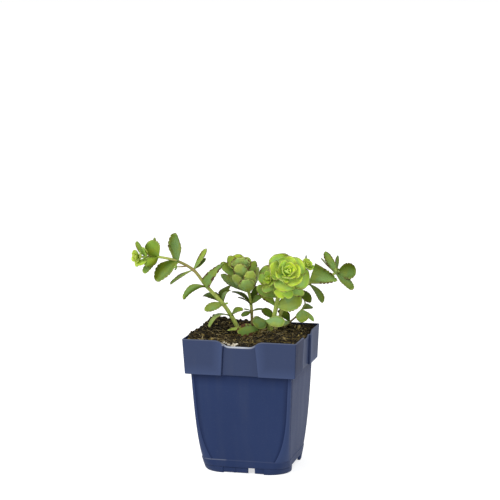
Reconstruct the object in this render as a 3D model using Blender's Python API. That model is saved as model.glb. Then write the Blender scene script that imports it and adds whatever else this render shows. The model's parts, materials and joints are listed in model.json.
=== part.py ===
"""Potted stonecrop: a square nursery pot, the soil that fills it and the leafy shoots rooted in the soil.

The pot stands on z = 0 with its axis on Z and its front side towards -Y. Sizes are in millimetres and
become metres in to_metres(). The shoots are laid out in the plant's own directions, (across, toward,
height): they are turned VIEW_TURN from the pot's sides, across runs to the right, toward comes forward.
"""
import bmesh
import bpy
import numpy as np
from math import pi, radians

# Pot: a square nursery pot, about 90 mm over the rim
POT_HEIGHT = 108.0
RIM_HALF = 45.6          # half the width over the rim
SKIRT_BOTTOM = 80.0      # height of the proud skirt's lower edge
SKIRT_HALF = 44.2        # half the width there
BODY_HALF = 40.5         # half the width of the body just under the skirt
FOOT_HALF = 34.9         # half the width at the base
BODY_SWELL = 0.09        # how far the body's sides swell outwards, for their whole spread
LEAN = 1.3               # the thin pot has settled this much to the left between its foot and its rim
LEAN_TOP = 104.0         # height up to which it leans
WALL = 1.1
RIM_RADIUS = 1.2         # corner radius of the skirt
TOP_RADIUS = 2.5         # corner radius of the body under the skirt
FOOT_RADIUS = 17.7       # corner radius at the base
RADIUS_FALL = 4.9        # how fast it falls off upwards
PANEL_TOP = 12.3         # half the width of the skirt's recessed panel, at the rim
PANEL_BOTTOM = 14.3      # and at the skirt's lower edge
PANEL_DEPTH = 1.9
PANEL_SLANT = 0.3        # width of the step at each side of a panel
RIM_DIP = 4.6            # how far the rim dips in the middle of each side
DIP_HALF = 18.0
DIP_RAMP = 9.5           # the dip comes down over this length at either end
RIDGE_HEIGHT = 10.4      # fine moulded line round the base
RIDGE_STEP = 0.35
BODY_ROWS = (15.0, 24.0, 38.0, 58.0)
FOOT_EDGE = (0.4, 1.0)   # inset and height of the bevel round the foot
FOOT_LIFT = 0.5          # the foot's recessed parts stand this far clear of the table
FOOT_RECESS = 0.8        # the foot steps in between the corners
RECESS_HALF = 16.2
RECESS_HEIGHT = 4.8
FOOT_WALL = 2.4
FLOOR_UNDER = 5.2        # underside of the raised floor
FLOOR_TOP = 6.4
PAD_RADIUS = 12.0        # central pad that stands on the table
PAD_FAN = (0.6, 0.4, 0.0)         # where the pad's triangles meet, off its centre
NOTCH = (3.6, 9.0, 4.6)  # from, to and height of the drain notch in the front side
OPENING = 15.9           # half the width of the opening under each other side
DRAIN_RADIUS = 3.6
DRAIN_RING = 22.0
ARC_STEPS = 4

# Soil
GAP = 0.3                # clearance between neighbouring pieces
EDGE_INSET = 0.35        # the soil's surface starts this much further in
EDGE_SAG = 0.8           # and lower than the bed beside it
SOIL_LEVEL = 103.4
SOIL_RINGS = (0.93, 0.8, 0.64, 0.48, 0.32, 0.16)
HEAP = (-41.0, 41.0, 2.0, 9.0)   # place, height and spread of the heap at the back left
LEFT_BANK = (-42.0, 6.8, 8.0)     # soil banked along the left wall: place, height and spread
BANK_START = (-64.0, -12.0)       # it comes to its full height between these places along that wall
BACK_BANK = (43.0, 4.9, 8.0)      # and along the back wall
BACK_FALL = 1.3          # the back bank is this much lower at the right
RELIEF = 0.9
HOLE_PLAY = 0.45
HOLE_REACH = 12.0        # how far above the soil's level a hole is cut, clear through its relief
ROOT_DEPTH = 14.0

# Shoots
VIEW_TURN = radians(13.6)
GOLDEN = radians(137.5)
STEM_SIDES = 6
STEM_STEP = 7.0          # about one ring of the stem every so many millimetres
BLADE = 0.95             # thickness at the midrib
EDGE = 0.75              # and along the edge
WIDEST = 0.57            # where along its length a leaf is widest
PETAL_WIDEST = 0.64      # and a rosette leaf
LEAF_RISE = 1.4          # how slowly it widens from its base
TIP_SQUARING = 0.9       # how nearly it closes to a point at the tip
TIP_ROUNDING = 2.3       # and how late
LEAF_WAIST = 0.16        # width at the base, for its greatest width
CLASP_BASE = 0.7         # how much broader the base of a leaf is that clasps its stem
CLASP_TAPER = 0.85       # and how much narrower its tip
PETAL_WAIST = 0.3
PETAL_ARCH = -0.13       # bow of a rosette leaf for its length
PETAL_CUP = 0.24
LEAF_ROWS = (0.0, 0.32, 0.56, 0.69, 0.84, 1.0)
LEAF_TEETH = (0.0, 0.0, 0.08, -0.05, 0.09, 0.0)
PETAL_ROWS = (0.0, 0.4, 0.68, 0.86, 1.0)
PETAL_TEETH = (0.0, 0.0, 0.06, -0.02, 0.0)
BUD_LENGTH = 9.0         # shorter rosette leaves have no teeth
BUD_ROWS = (0.0, 0.6, 1.0)
BUD_TEETH = (0.0, 0.0, 0.0)

COLOURS = {
    "pot": ((0.032, 0.052, 0.130), 0.38),
    "soil": ((0.022, 0.016, 0.009), 0.95),
    "leaf": ((0.130, 0.230, 0.055), 0.45),
}

# Each twig: route of its stem, stem radius at both ends, leaves and rosettes.
# A leaf: (node on the route, tip, way its upper face looks, width, arch, cup) and, where its base is broad,
# how far it clasps the stem, up to 1.
# A rosette: node, way it faces, number of leaves, (inner, outer) length and spread in degrees,
# width for its length, first turn, depth of the heart.
SHOOTS = {
    "shoot_left": [
        dict(
            route=[(-9.5, -13, 104), (-16.5, -11, 117.5), (-23.5, -8, 128.5), (-35.6, -4.6, 142.4),
                   (-38.6, -3.8, 146.2), (-47, -2, 157), (-59.8, 0, 164.4), (-74.5, 1, 167.8),
                   (-84.2, 2, 167.9), (-90.5, 2.4, 168.3)],
            radius=(2.0, 0.85),
            leaves=[
                (1, (-34.6, 0, 110.8), (-0.35, 0.25, 0.9), 7.0, 6.0, 0.15),
                (1, (-7.2, -7, 123.6), (-0.55, 0.4, 0.7), 7.0, 3.0, 0.15),
                (2, (-38.0, 0, 124.4), (0.05, 0.75, 0.65), 8.6, 1.5, 0.1, 0.2),
                (2, (-17.2, -12, 139.0), (-0.7, 0.35, 0.6), 6.0, 3.0, 0.15),
                (2, (-20.0, 0, 129.6), (0.0, 0.5, 0.9), 4.0, 0.5, 0.1),
                (2, (-39.4, -20, 133.2), (0.1, 0.5, 0.85), 9.6, 3.8, 0.1),
                (2, (-17.8, -23, 141.0), (-0.65, 0.6, 0.45), 11.0, 3.5, 0.1),
                (3, (-55.0, 2, 134.0), (0.0, 0.4, 0.9), 8.6, 5.5, 0.2),
                (5, (-36.4, -6, 173.6), (-0.7, 0.55, 0.4), 7.2, -1.0, 0.3),
                (5, (-37.0, -4, 166.0), (-0.45, 0.6, 0.66), 4.6, -0.6, 0.1),
                (5, (-65.2, 4, 146.4), (-0.45, 0.35, 0.82), 6.4, 0.8, 0.25),
                (6, (-60.6, 2, 187.2), (-0.65, 0.72, 0.1), 16.2, -1.2, 0.42, 0.3),
                (6, (-76.0, 8, 149.4), (-0.5, 0.8, 0.3), 15.5, 3.2, 0.12, 0.25),
                (7, (-82.6, 6, 180.4), (0.15, 0.92, 0.3), 13.0, 0.8, 0.1),
                (7, (-77.8, -5, 182.6), (-0.88, 0.42, 0.2), 6.4, 0.5, 0.1),
                (7, (-85.8, 3, 154.7), (-0.5, 0.65, 0.45), 8.0, 0.8, 0.15),
                (7, (-84.4, 8, 161.4), (-0.2, 0.8, 0.5), 9.6, 0.8, 0.15),
                (8, (-92.4, -3, 179.4), (-0.75, 0.2, 0.6), 5.4, 0.5, 0.15),
                (8, (-85.8, 9, 176.6), (-0.6, 0.78, 0.1), 6.6, -1.2, 0.2),
                (8, (-90.2, 9, 162.2), (-0.6, 0.78, 0.1), 7.8, -1.2, 0.2),
            ],
            rosettes=[dict(at=9, axis=(-0.90, 0.42, 0.06), count=12, length=(3.4, 9.6), spread=(14, 78),
                           ratio=0.76, turn=40, depth=2.8)]),
        dict(
            route=[(-38.4, -3.8, 145.8), (-38.3, -2.4, 145.4), (-38.1, -1.0, 144.9)],
            radius=(1.0, 0.9),
            leaves=[(2, (-21.8, 0.5, 163.2), (-0.42, 0.85, 0.3), 12.2, 3.2, -0.04, 1.0)],
            rosettes=[]),
        dict(
            route=[(-51.5, -1.2, 160.2), (-55.5, 3.5, 160.4), (-60.0, 6, 160.6)],
            radius=(0.6, 0.5),
            leaves=[],
            rosettes=[dict(at=2, axis=(-0.7, 0.5, 0.2), count=5, length=(2.4, 3.8), spread=(25, 80),
                           ratio=0.8, turn=20, depth=0.6)]),
    ],
    "shoot_head": [
        dict(
            route=[(0.2, -22, 104), (-0.5, -24.5, 119.5), (-1.0, -26, 124.4), (-2.8, -28, 134.5),
                   (-6, -31, 144), (-8.5, -34, 150)],
            radius=(1.3, 1.1),
            leaves=[
                (1, (-6.4, -17.5, 122.2), (0.2, 0.2, 1.0), 3.5, 0.6, 0.1),
                (1, (9.2, -25, 121.0), (0.0, 0.3, 1.0), 4.0, 0.8, 0.1),
                (1, (-8.6, -20, 116.0), (0.2, 0.5, 0.85), 5.0, 0.6, 0.1),
                (2, (-17.0, -33, 134.0), (0.45, 0.25, 0.85), 7.5, 3.0, 0.15),
                (2, (-11.6, -18.5, 131.8), (0.3, 0.1, 0.95), 5.0, 1.2, 0.15),
                (2, (5.2, -36, 138.4), (-0.5, 0.6, 0.6), 7.5, 0.8, 0.15),
                (2, (7.8, -20, 131.6), (-0.3, 0.5, 0.8), 8.5, 1.8, 0.15),
                (3, (-5.6, -16, 147.3), (-0.1, -0.75, 0.65), 14.5, -2.5, 0.22),
                (3, (-14.6, -20, 150.6), (0.35, -0.7, 0.6), 10.5, -2.2, 0.2),
                (3, (-2.6, -18, 154.0), (-0.3, -0.75, 0.55), 11.5, -2.6, 0.2),
                (4, (-11.0, -19.5, 159.4), (0.0, -0.8, 0.6), 12.5, -2.8, 0.2),
                (5, (-10.0, -23, 164.0), (0.0, -0.85, 0.5), 16.0, -2.4, 0.2),
                (3, (-24.8, -26, 150.4), (0.25, -0.7, 0.6), 11.0, -1.4, 0.15),
                (4, (-25.8, -32, 158.0), (0.45, 0.5, 0.7), 12.0, -1.8, 0.15),
                (5, (-19.5, -37, 163.0), (0.45, 0.6, 0.65), 12.0, -1.8, 0.15),
                (3, (5.0, -30, 155.0), (-0.6, -0.55, 0.55), 10.0, -1.6, 0.15),
                (4, (2.4, -37, 159.2), (-0.5, 0.5, 0.7), 10.5, -1.8, 0.15),
                (5, (-13.0, -45, 163.4), (0.1, 0.75, 0.65), 12.0, -1.8, 0.15),
                (5, (-4.4, -43, 161.4), (-0.2, 0.75, 0.65), 10.5, -1.8, 0.15),
                (4, (-12.0, -49, 153.0), (0.1, 0.55, 0.85), 12.0, -1.5, 0.15),
            ],
            rosettes=[dict(at=5, axis=(-0.22, -0.35, 0.9), count=6, length=(4.0, 9.5), spread=(12, 38),
                           ratio=0.8, turn=80, depth=1.5)]),
    ],
    "shoot_rosette": [
        dict(
            route=[(14, -14, 104), (17, -12.5, 115), (19.2, -10.5, 126), (20.8, -8, 134), (24, -3.5, 142),
                   (26, 2, 149.5), (27.4, 6, 155.3)],
            radius=(1.9, 1.6),
            leaves=[
                (1, (8.5, -22, 122.0), (-0.1, 0.5, 0.85), 7.5, 1.0, 0.1),
                (2, (39.8, 0, 133.0), (0.05, 0.9, 0.45), 15.8, 1.2, 0.12),
                (2, (3.4, -12, 140.8), (0.5, 0.75, 0.4), 9.5, 0.8, 0.12),
                (3, (3.2, -2, 142.6), (0.4, 0.85, 0.35), 10.0, 0.6, 0.12),
                (4, (41.5, -1, 137.4), (-0.2, 0.8, 0.55), 8.5, 1.2, 0.12),
                (4, (30.2, 9.5, 135.8), (0.1, 0.8, 0.6), 9.0, 1.6, 0.12),
            ],
            rosettes=[dict(at=6, axis=(0.16, 0.84, 0.52), count=18, length=(5.5, 19.6), spread=(10, 86),
                           ratio=0.96, turn=205, depth=4.5)]),
        dict(
            route=[(24, -3.5, 142), (18.4, -3.0, 145.5), (14.4, -0.5, 149.4)],
            radius=(1.1, 1.0),
            leaves=[(1, (23.4, 9, 135.4), (0.2, 0.8, 0.55), 9.6, 1.6, 0.1)],
            rosettes=[dict(at=2, axis=(-0.42, 0.82, 0.39), count=10, length=(4.5, 13.4), spread=(12, 84),
                           ratio=0.9, turn=70, depth=2.0)]),
        dict(
            route=[(14.2, -13.2, 106), (12.5, -9.5, 110.5), (10.8, -6.0, 115)],
            radius=(1.3, 1.0),
            leaves=[
                (2, (1.6, 1.5, 112.2), (-0.1, 0.9, 0.45), 12.5, 1.4, 0.12),
                (2, (25.6, 0.5, 113.6), (0.1, 0.8, 0.6), 10.5, 1.4, 0.12),
            ],
            rosettes=[]),
    ],
    "shoot_right": [
        dict(
            route=[(19, -26, 104), (22.5, -28.5, 115), (27.5, -29, 127), (34.5, -27, 136.5),
                   (45.5, -22, 142.5), (57, -16, 148.6), (67.5, -12, 152.8)],
            radius=(1.5, 0.95),
            leaves=[
                (4, (56.4, -14, 128.0), (0.7, 0.5, 0.5), 9.8, 2.2, 0.15),
                (3, (47.8, -27, 126.8), (0.5, 0.7, 0.5), 9.0, 1.5, 0.15),
                (3, (29.0, -38, 148.0), (0.3, 0.5, 0.8), 8.5, 1.0, 0.1),
                (6, (58.8, -15, 170.2), (-0.7, 0.65, 0.3), 9.4, -1.0, 0.38, 0.3),
                (6, (55.8, -25, 162.9), (0.5, -0.1, 0.85), 8.0, -0.6, 0.1),
                (6, (69.0, -21, 166.0), (0.8, 0.45, 0.3), 5.4, -0.8, 0.1),
                (6, (83.0, -8, 155.6), (-0.1, 0.93, 0.35), 13.2, 0.8, 0.12),
                (6, (80.2, -1, 141.2), (0.3, 0.72, 0.62), 9.6, 0.8, 0.12, 0.2),
                (6, (74.0, -27, 148.0), (0.3, 0.4, 0.85), 9.0, 0.8, 0.1),
            ],
            rosettes=[dict(at=6, axis=(0.55, 0.35, 0.75), count=5, length=(2.8, 6.0), spread=(14, 42),
                           ratio=0.7, turn=10, depth=0.8)]),
        dict(
            route=[(51.0, -19.2, 145.4), (50.0, -14.5, 149.6), (47.8, -11.0, 152.6)],
            radius=(0.9, 0.8),
            leaves=[(2, (68.0, -6, 147.2), (-0.15, 0.9, 0.4), 20.5, 0.8, 0.08, 1.0)],
            rosettes=[]),
        dict(
            route=[(34.5, -27, 136.5), (40.6, -20.5, 149), (43.8, -17, 158.2)],
            radius=(0.8, 0.7),
            leaves=[(2, (43.6, -23.5, 165.8), (0.9, 0.2, 0.3), 4.6, -0.5, 0.1)],
            rosettes=[dict(at=2, axis=(0.3, 0.7, 0.65), count=9, length=(3.0, 7.0), spread=(12, 68),
                           ratio=0.95, turn=30, depth=1.0)]),
    ],
    "shoot_back": [
        dict(
            route=[(25.0, -30, 104), (30.5, -30, 109.5), (36, -27, 115), (40.2, -25, 121)],
            radius=(0.9, 0.75),
            leaves=[
                (1, (22.0, -41, 118.0), (0.3, 0.6, 0.75), 9.0, 1.0, 0.1),
                (1, (18.6, -15, 109.6), (0.0, 0.6, 0.8), 9.0, 1.2, 0.1),
                (3, (40.8, -12, 112.6), (-0.1, 0.8, 0.6), 10.5, 1.0, 0.12),
                (3, (49.6, -19, 112.0), (0.5, 0.5, 0.7), 5.5, 0.8, 0.1),
                (3, (41.8, -27, 129.4), (-0.9, 0.2, 0.2), 4.0, -2.0, 0.1),
                (3, (48.5, -34, 122.0), (0.2, 0.5, 0.85), 7.0, 1.0, 0.1),
            ],
            rosettes=[]),
    ],
    "shoot_front": [
        dict(
            route=[(4.5, -5, 103.4), (4.8, -4.4, 107.0), (5.0, -3.4, 109.6)],
            radius=(1.1, 0.9),
            leaves=[
                (2, (-12.2, 4.0, 107.4), (0.15, 0.85, 0.5), 12.2, 0.8, 0.1, 0.2),
                (1, (-20.0, 1.5, 108.4), (0.0, 0.4, 0.92), 4.4, 2.4, 0.1),
            ],
            rosettes=[]),
    ],
}


def clear_scene():
    for obj in list(bpy.data.objects):
        bpy.data.objects.remove(obj, do_unlink=True)


def material(name):
    """Makes the Principled material of a node from its colour and roughness."""
    made = bpy.data.materials.get(name) or bpy.data.materials.new(name)
    made.use_nodes = True
    shader = made.node_tree.nodes["Principled BSDF"]
    colour, roughness = COLOURS[name]
    shader.inputs["Base Color"].default_value = (*colour, 1.0)
    shader.inputs["Roughness"].default_value = roughness
    shader.inputs["Metallic"].default_value = 0.0
    return made


def to_metres(points):
    return np.asarray(points, float) * 0.001


def to_world(points):
    """Turns (across, toward, height) into the pot's X, Y and Z, in millimetres."""
    across = np.array([np.cos(VIEW_TURN), np.sin(VIEW_TURN), 0.0])
    toward = np.array([np.sin(VIEW_TURN), -np.cos(VIEW_TURN), 0.0])
    return np.asarray(points, float) @ np.array([across, toward, [0.0, 0.0, 1.0]])


def lean(obj):
    """Moves a finished node's points to the left, in step with their height."""
    for vertex in obj.data.vertices:
        vertex.co.x -= 0.001 * LEAN * min(vertex.co.z * 1000.0 / LEAN_TOP, 1.0)


def mesh_object(name, points, faces, material_name):
    """Makes an object from points in millimetres, with its faces turned outwards."""
    mesh = bpy.data.meshes.new(name)
    mesh.from_pydata(to_metres(points).tolist(), [], [tuple(face) for face in faces])
    work = bmesh.new()
    work.from_mesh(mesh)
    bmesh.ops.recalc_face_normals(work, faces=work.faces)
    work.to_mesh(mesh)
    work.free()
    mesh.materials.append(material(material_name))
    obj = bpy.data.objects.new(name, mesh)
    bpy.context.scene.collection.objects.link(obj)
    return obj


def apply_boolean(obj, others, operation, solver):
    """Joins the other objects to obj, or cuts them from it, in one step, and removes them."""
    group = bpy.data.collections.new(obj.name + "_operands")
    bpy.context.scene.collection.children.link(group)
    for other in others:
        group.objects.link(other)
    modifier = obj.modifiers.new("join", "BOOLEAN")
    modifier.operation = operation
    modifier.solver = solver
    modifier.operand_type = "COLLECTION"
    modifier.collection = group
    result = bpy.data.meshes.new_from_object(obj.evaluated_get(bpy.context.evaluated_depsgraph_get()))
    obj.modifiers.clear()
    obj.data = result
    for other in others:
        bpy.data.objects.remove(other, do_unlink=True)
    bpy.data.collections.remove(group)


def keep_main_body(obj):
    """Drops loose scraps and the walls of sealed hollows, so that one closed body is left."""
    work = bmesh.new()
    work.from_mesh(obj.data)
    bmesh.ops.triangulate(work, faces=work.faces)
    unseen = set(work.faces)
    bodies = []
    while unseen:
        stack = [unseen.pop()]
        body = []
        while stack:
            face = stack.pop()
            body.append(face)
            for edge in face.edges:
                for near in edge.link_faces:
                    if near in unseen:
                        unseen.discard(near)
                        stack.append(near)
        bodies.append(body)
    bodies.sort(key=len, reverse=True)
    scraps = [face for body in bodies[1:] for face in body]
    bmesh.ops.delete(work, geom=scraps, context="FACES")
    work.to_mesh(obj.data)
    work.free()


# The pot's walls

def body_half(z):
    share = z / SKIRT_BOTTOM
    return FOOT_HALF + (BODY_HALF - FOOT_HALF) * (share + BODY_SWELL * np.sin(pi * share))


def body_radius(z):
    return TOP_RADIUS + (FOOT_RADIUS - TOP_RADIUS) * (1.0 - z / SKIRT_BOTTOM) ** RADIUS_FALL


def skirt_half(z):
    return SKIRT_HALF + (RIM_HALF - SKIRT_HALF) * (z - SKIRT_BOTTOM) / (POT_HEIGHT - SKIRT_BOTTOM)


def panel_half(z):
    return PANEL_BOTTOM + (PANEL_TOP - PANEL_BOTTOM) * (z - SKIRT_BOTTOM) / (POT_HEIGHT - SKIRT_BOTTOM)


def rim_dip(t):
    """The rim's dip at a distance t along a side from its middle."""
    share = np.clip((DIP_HALF - np.abs(t)) / DIP_RAMP, 0.0, 1.0)
    return RIM_DIP * share * share * (3.0 - 2.0 * share)


def turned_in(past, radius):
    """How far a rounded corner has turned in, this far past its start."""
    return radius - np.sqrt(radius ** 2 - max(0.0, past) ** 2)


def ring(half, radius, z, panel=RECESS_HALF, depth=0.0, dip=0.0, lift=0.0):
    """A rounded square at height z, with its four middle panels set in by depth.

    dip lowers the ring in the middle of each side, as at the rim, and lift raises its recessed panels.
    """
    corner = half - radius
    start = np.arcsin(max(0.0, DIP_HALF + PANEL_SLANT - corner) / radius)
    arc = [(corner + radius * np.cos(a), corner + radius * np.sin(a))
           for a in np.linspace(start, pi / 2 - start, ARC_STEPS + 1)]
    points = []
    for side in range(4):
        runs = [(half - turned_in(t - corner, radius), t) for t in (DIP_HALF, panel + PANEL_SLANT)]
        runs += [(half - depth - turned_in(t - corner, radius), t) for t in (panel, panel * 0.5, 0.0)]
        runs = runs + [(d, -t) for d, t in reversed(runs[:-1])]
        flat = [(d, t, z - dip * float(rim_dip(t)) + lift * (abs(t) <= panel)) for d, t in runs]
        side_points = [(d, t, z) for d, t in reversed(arc)] + flat
        turn = side * pi / 2
        for d, t, height in side_points:
            points.append((d * np.cos(turn) + t * np.sin(turn), d * np.sin(turn) - t * np.cos(turn), height))
    return np.array(points)


def loft(rings, first=None, last=None):
    """Faces between rings of equal count, closed by a fan to a point at either end."""
    count = len(rings[0])
    points = [p for r in rings for p in r]
    faces = []
    for k in range(len(rings) - 1):
        for i in range(count):
            j = (i + 1) % count
            a, b = k * count + i, k * count + j
            faces += [(a, b, b + count), (a, b + count, a + count)]
    for end, offset in ((first, 0), (last, (len(rings) - 1) * count)):
        if end is not None:
            points.append(end)
            tip = len(points) - 1
            faces += [(offset + i, offset + (i + 1) % count, tip) for i in range(count)]
    return np.array(points), faces


def circle_ring(radius, z):
    """A circle with as many points as a ring, each on the same bearing."""
    base = ring(FOOT_HALF, FOOT_RADIUS, z)
    reach = np.hypot(base[:, 0], base[:, 1])
    return np.column_stack([base[:, 0] * radius / reach, base[:, 1] * radius / reach, np.full(len(base), z)])


def outer_wall():
    """Rings up the outside, from the foot to the rim."""
    inset, height = FOOT_EDGE
    rings = [
        ring(FOOT_HALF - inset, FOOT_RADIUS, 0.0, depth=FOOT_RECESS, lift=FOOT_LIFT),
        ring(body_half(height), body_radius(height), height, depth=FOOT_RECESS),
        ring(body_half(RECESS_HEIGHT), body_radius(RECESS_HEIGHT), RECESS_HEIGHT, depth=FOOT_RECESS),
        ring(body_half(RECESS_HEIGHT), body_radius(RECESS_HEIGHT), RECESS_HEIGHT + 0.3),
        ring(body_half(RIDGE_HEIGHT), body_radius(RIDGE_HEIGHT), RIDGE_HEIGHT),
        ring(body_half(RIDGE_HEIGHT) - RIDGE_STEP, body_radius(RIDGE_HEIGHT), RIDGE_HEIGHT + 0.5),
    ]
    for z in (*BODY_ROWS, SKIRT_BOTTOM):
        rings.append(ring(body_half(z) - RIDGE_STEP * (SKIRT_BOTTOM - z) / SKIRT_BOTTOM, body_radius(z), z))
    rings.append(ring(SKIRT_HALF, RIM_RADIUS, SKIRT_BOTTOM, panel_half(SKIRT_BOTTOM), PANEL_DEPTH))
    rings.append(ring(RIM_HALF, RIM_RADIUS, POT_HEIGHT, PANEL_TOP, PANEL_DEPTH, dip=1.0))
    return rings


def inner_wall(inset, floor, ledge, panel_play=0.0):
    """Rings down the inside, from under the rim to the floor, set in from the outer wall."""
    rings = [
        ring(SKIRT_HALF - inset, RIM_RADIUS, ledge, panel_half(SKIRT_BOTTOM) + panel_play, PANEL_DEPTH),
        ring(body_half(SKIRT_BOTTOM) - inset, body_radius(SKIRT_BOTTOM), ledge),
    ]
    for z in reversed(BODY_ROWS):
        rings.append(ring(body_half(z) - inset - RIDGE_STEP, body_radius(z), z))
    rings.append(ring(body_half(floor) - inset - RIDGE_STEP, body_radius(floor), floor))
    return rings


def build_pot():
    top = ring(RIM_HALF - WALL, RIM_RADIUS, POT_HEIGHT, PANEL_TOP, PANEL_DEPTH, dip=1.0)
    inside = inner_wall(WALL, FLOOR_TOP, SKIRT_BOTTOM + WALL)
    underside = [
        circle_ring(PAD_RADIUS, 0.0),
        circle_ring(PAD_RADIUS, FLOOR_UNDER),
        ring(FOOT_HALF - FOOT_WALL, FOOT_RADIUS - 1.0, FLOOR_UNDER),
        ring(FOOT_HALF - FOOT_WALL, FOOT_RADIUS - 1.0, 0.0, lift=FOOT_LIFT),
    ]
    rings = underside + outer_wall() + [top] + inside
    points, faces = loft(rings, first=PAD_FAN, last=(0.0, 0.0, FLOOR_TOP))
    pot = mesh_object("pot", points, faces, "pot")
    apply_boolean(pot, notch_cutters() + drain_cutters(), "DIFFERENCE", "MANIFOLD")
    keep_main_body(pot)
    return pot


def box_cutter(name, low, high):
    corners = [(x, y, z) for x in (low[0], high[0]) for y in (low[1], high[1]) for z in (low[2], high[2])]
    faces = [(0, 1, 3, 2), (4, 6, 7, 5), (0, 4, 5, 1), (2, 3, 7, 6), (0, 2, 6, 4), (1, 5, 7, 3)]
    return mesh_object(name, corners, faces, "pot")


def notch_cutters():
    """A notch through the foot wall in front, and a wide opening between the feet on the other sides."""
    start, end, height = NOTCH
    inner, outer = FOOT_HALF - FOOT_WALL - 3.0, FOOT_HALF + 3.0
    return [
        box_cutter("notch_front", (start, -outer, -1.0), (end, -inner, height)),
        box_cutter("opening_right", (inner, -OPENING, -1.0), (outer, OPENING, height)),
        box_cutter("opening_back", (-OPENING, inner, -1.0), (OPENING, outer, height)),
        box_cutter("opening_left", (-outer, -OPENING, -1.0), (-inner, OPENING, height)),
    ]


def drain_cutters():
    """Round drain holes through the raised floor, one on each diagonal."""
    cutters = []
    for k in range(4):
        bearing = pi / 4 + k * pi / 2
        centre = DRAIN_RING * np.array([np.cos(bearing), np.sin(bearing)])
        turn = np.linspace(0.0, 2 * pi, 12, endpoint=False)
        circle = centre + DRAIN_RADIUS * np.column_stack([np.cos(turn), np.sin(turn)])
        rings = [np.column_stack([circle, np.full(12, z)]) for z in (FLOOR_UNDER - 1.0, FLOOR_TOP + 1.0)]
        points, faces = loft(rings, (*centre, FLOOR_UNDER - 1.0), (*centre, FLOOR_TOP + 1.0))
        cutters.append(mesh_object(f"drain_{k}", points, faces, "pot"))
    return cutters


# The soil

def soil_height(x, y):
    """A level bed with a heap at the back left, a bank along the left wall and a crumbly relief."""
    heap_x, heap_y, heap_rise, heap_spread = HEAP
    bank_x, bank_rise, bank_spread = LEFT_BANK
    heap = heap_rise * np.exp(-((x - heap_x) ** 2 + (y - heap_y) ** 2) / (2 * heap_spread ** 2))
    along = np.clip((y - BANK_START[0]) / (BANK_START[1] - BANK_START[0]), 0.0, 1.0)
    bank = bank_rise * np.exp(-((x - bank_x) / bank_spread) ** 2) * along
    back_y, back_rise, back_spread = BACK_BANK
    back_rise = back_rise - BACK_FALL * np.clip(x / 25.0, 0.0, 1.0)
    bank = np.maximum(bank, back_rise * np.exp(-((y - back_y) / back_spread) ** 2))
    relief = RELIEF * (np.sin(x * 0.61 + 1.3 * np.sin(y * 0.31)) * np.sin(y * 0.53 + 0.8)
                       + 0.6 * np.sin(x * 1.13 - y * 0.87))
    reach = np.hypot(x, y)
    return SOIL_LEVEL + heap + bank + relief * np.clip(reach / 20.0, 0.15, 1.0)


def build_soil(stem_cutters):
    inset = WALL + GAP
    panel = panel_half(SOIL_LEVEL) + 2 * GAP
    edge = ring(RIM_HALF - inset - EDGE_INSET, RIM_RADIUS, 0.0, panel, PANEL_DEPTH)
    edge[:, 2] = soil_height(edge[:, 0], edge[:, 1]) - EDGE_SAG
    tops = []
    for share in SOIL_RINGS:
        inner = edge.copy()
        inner[:, :2] *= share
        inner[:, 2] = soil_height(inner[:, 0], inner[:, 1])
        tops.append(inner)
    walls = inner_wall(inset, FLOOR_TOP + GAP, SKIRT_BOTTOM + WALL + GAP, panel_play=2 * GAP)
    rings = list(reversed(walls)) + [edge] + tops
    middle = (0.0, 0.0, float(soil_height(0.0, 0.0)))
    points, faces = loft(rings, first=(0.0, 0.0, FLOOR_TOP + GAP), last=middle)
    soil = mesh_object("soil", points, faces, "soil")
    apply_boolean(soil, stem_cutters, "DIFFERENCE", "MANIFOLD")
    keep_main_body(soil)
    return soil


# Stems and leaves

def smooth_route(route, step):
    """Points on a smooth curve through the route's own points, about one every step millimetres."""
    route = np.asarray(route, float)
    ends = np.vstack([2 * route[0] - route[1], route, 2 * route[-1] - route[-2]])
    points = [route[:1]]
    for k in range(len(route) - 1):
        a, b, c, d = ends[k:k + 4]
        count = max(1, int(round(np.linalg.norm(c - b) / step)))
        t = (np.arange(1, count + 1) / count)[:, None]
        points.append(0.5 * (2 * b + (c - a) * t + (2 * a - 5 * b + 4 * c - d) * t ** 2
                             + (3 * b - a - 3 * c + d) * t ** 3))
    return np.vstack(points)


def tube(route, radii, sides):
    """A closed tube along the route, its section carried along without twisting."""
    along = np.gradient(route, axis=0)
    along /= np.linalg.norm(along, axis=1)[:, None]
    side = np.cross(along[0], (0.31, 0.9, 0.3))
    rings = []
    for point, direction, radius in zip(route, along, radii):
        side = side - direction * (side @ direction)
        side /= np.linalg.norm(side)
        other = np.cross(direction, side)
        turn = np.linspace(0.0, 2 * pi, sides, endpoint=False)[:, None]
        rings.append(point + radius * (np.cos(turn) * side + np.sin(turn) * other))
    return loft(rings, first=route[0], last=route[-1])


def root_route(route):
    """The route with its buried root: straight down into the soil along the stem's first direction."""
    route = [np.array(p, float) for p in route]
    slope = route[1] - route[0]
    slope = slope / slope[2]
    return [route[0] - slope * ROOT_DEPTH] + route


def outline(s, waist, widest):
    """Half the leaf's width for a width of 2: narrow at the base and round at the tip."""
    rise = waist + (1.0 - waist) * np.sin(pi / 2 * np.clip(s / widest, 0.0, 1.0)) ** LEAF_RISE
    past = np.clip((s - widest) / (1.0 - widest), 0.0, 1.0)
    return rise * np.sqrt(1.0 - TIP_SQUARING * past ** TIP_ROUNDING)


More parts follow.
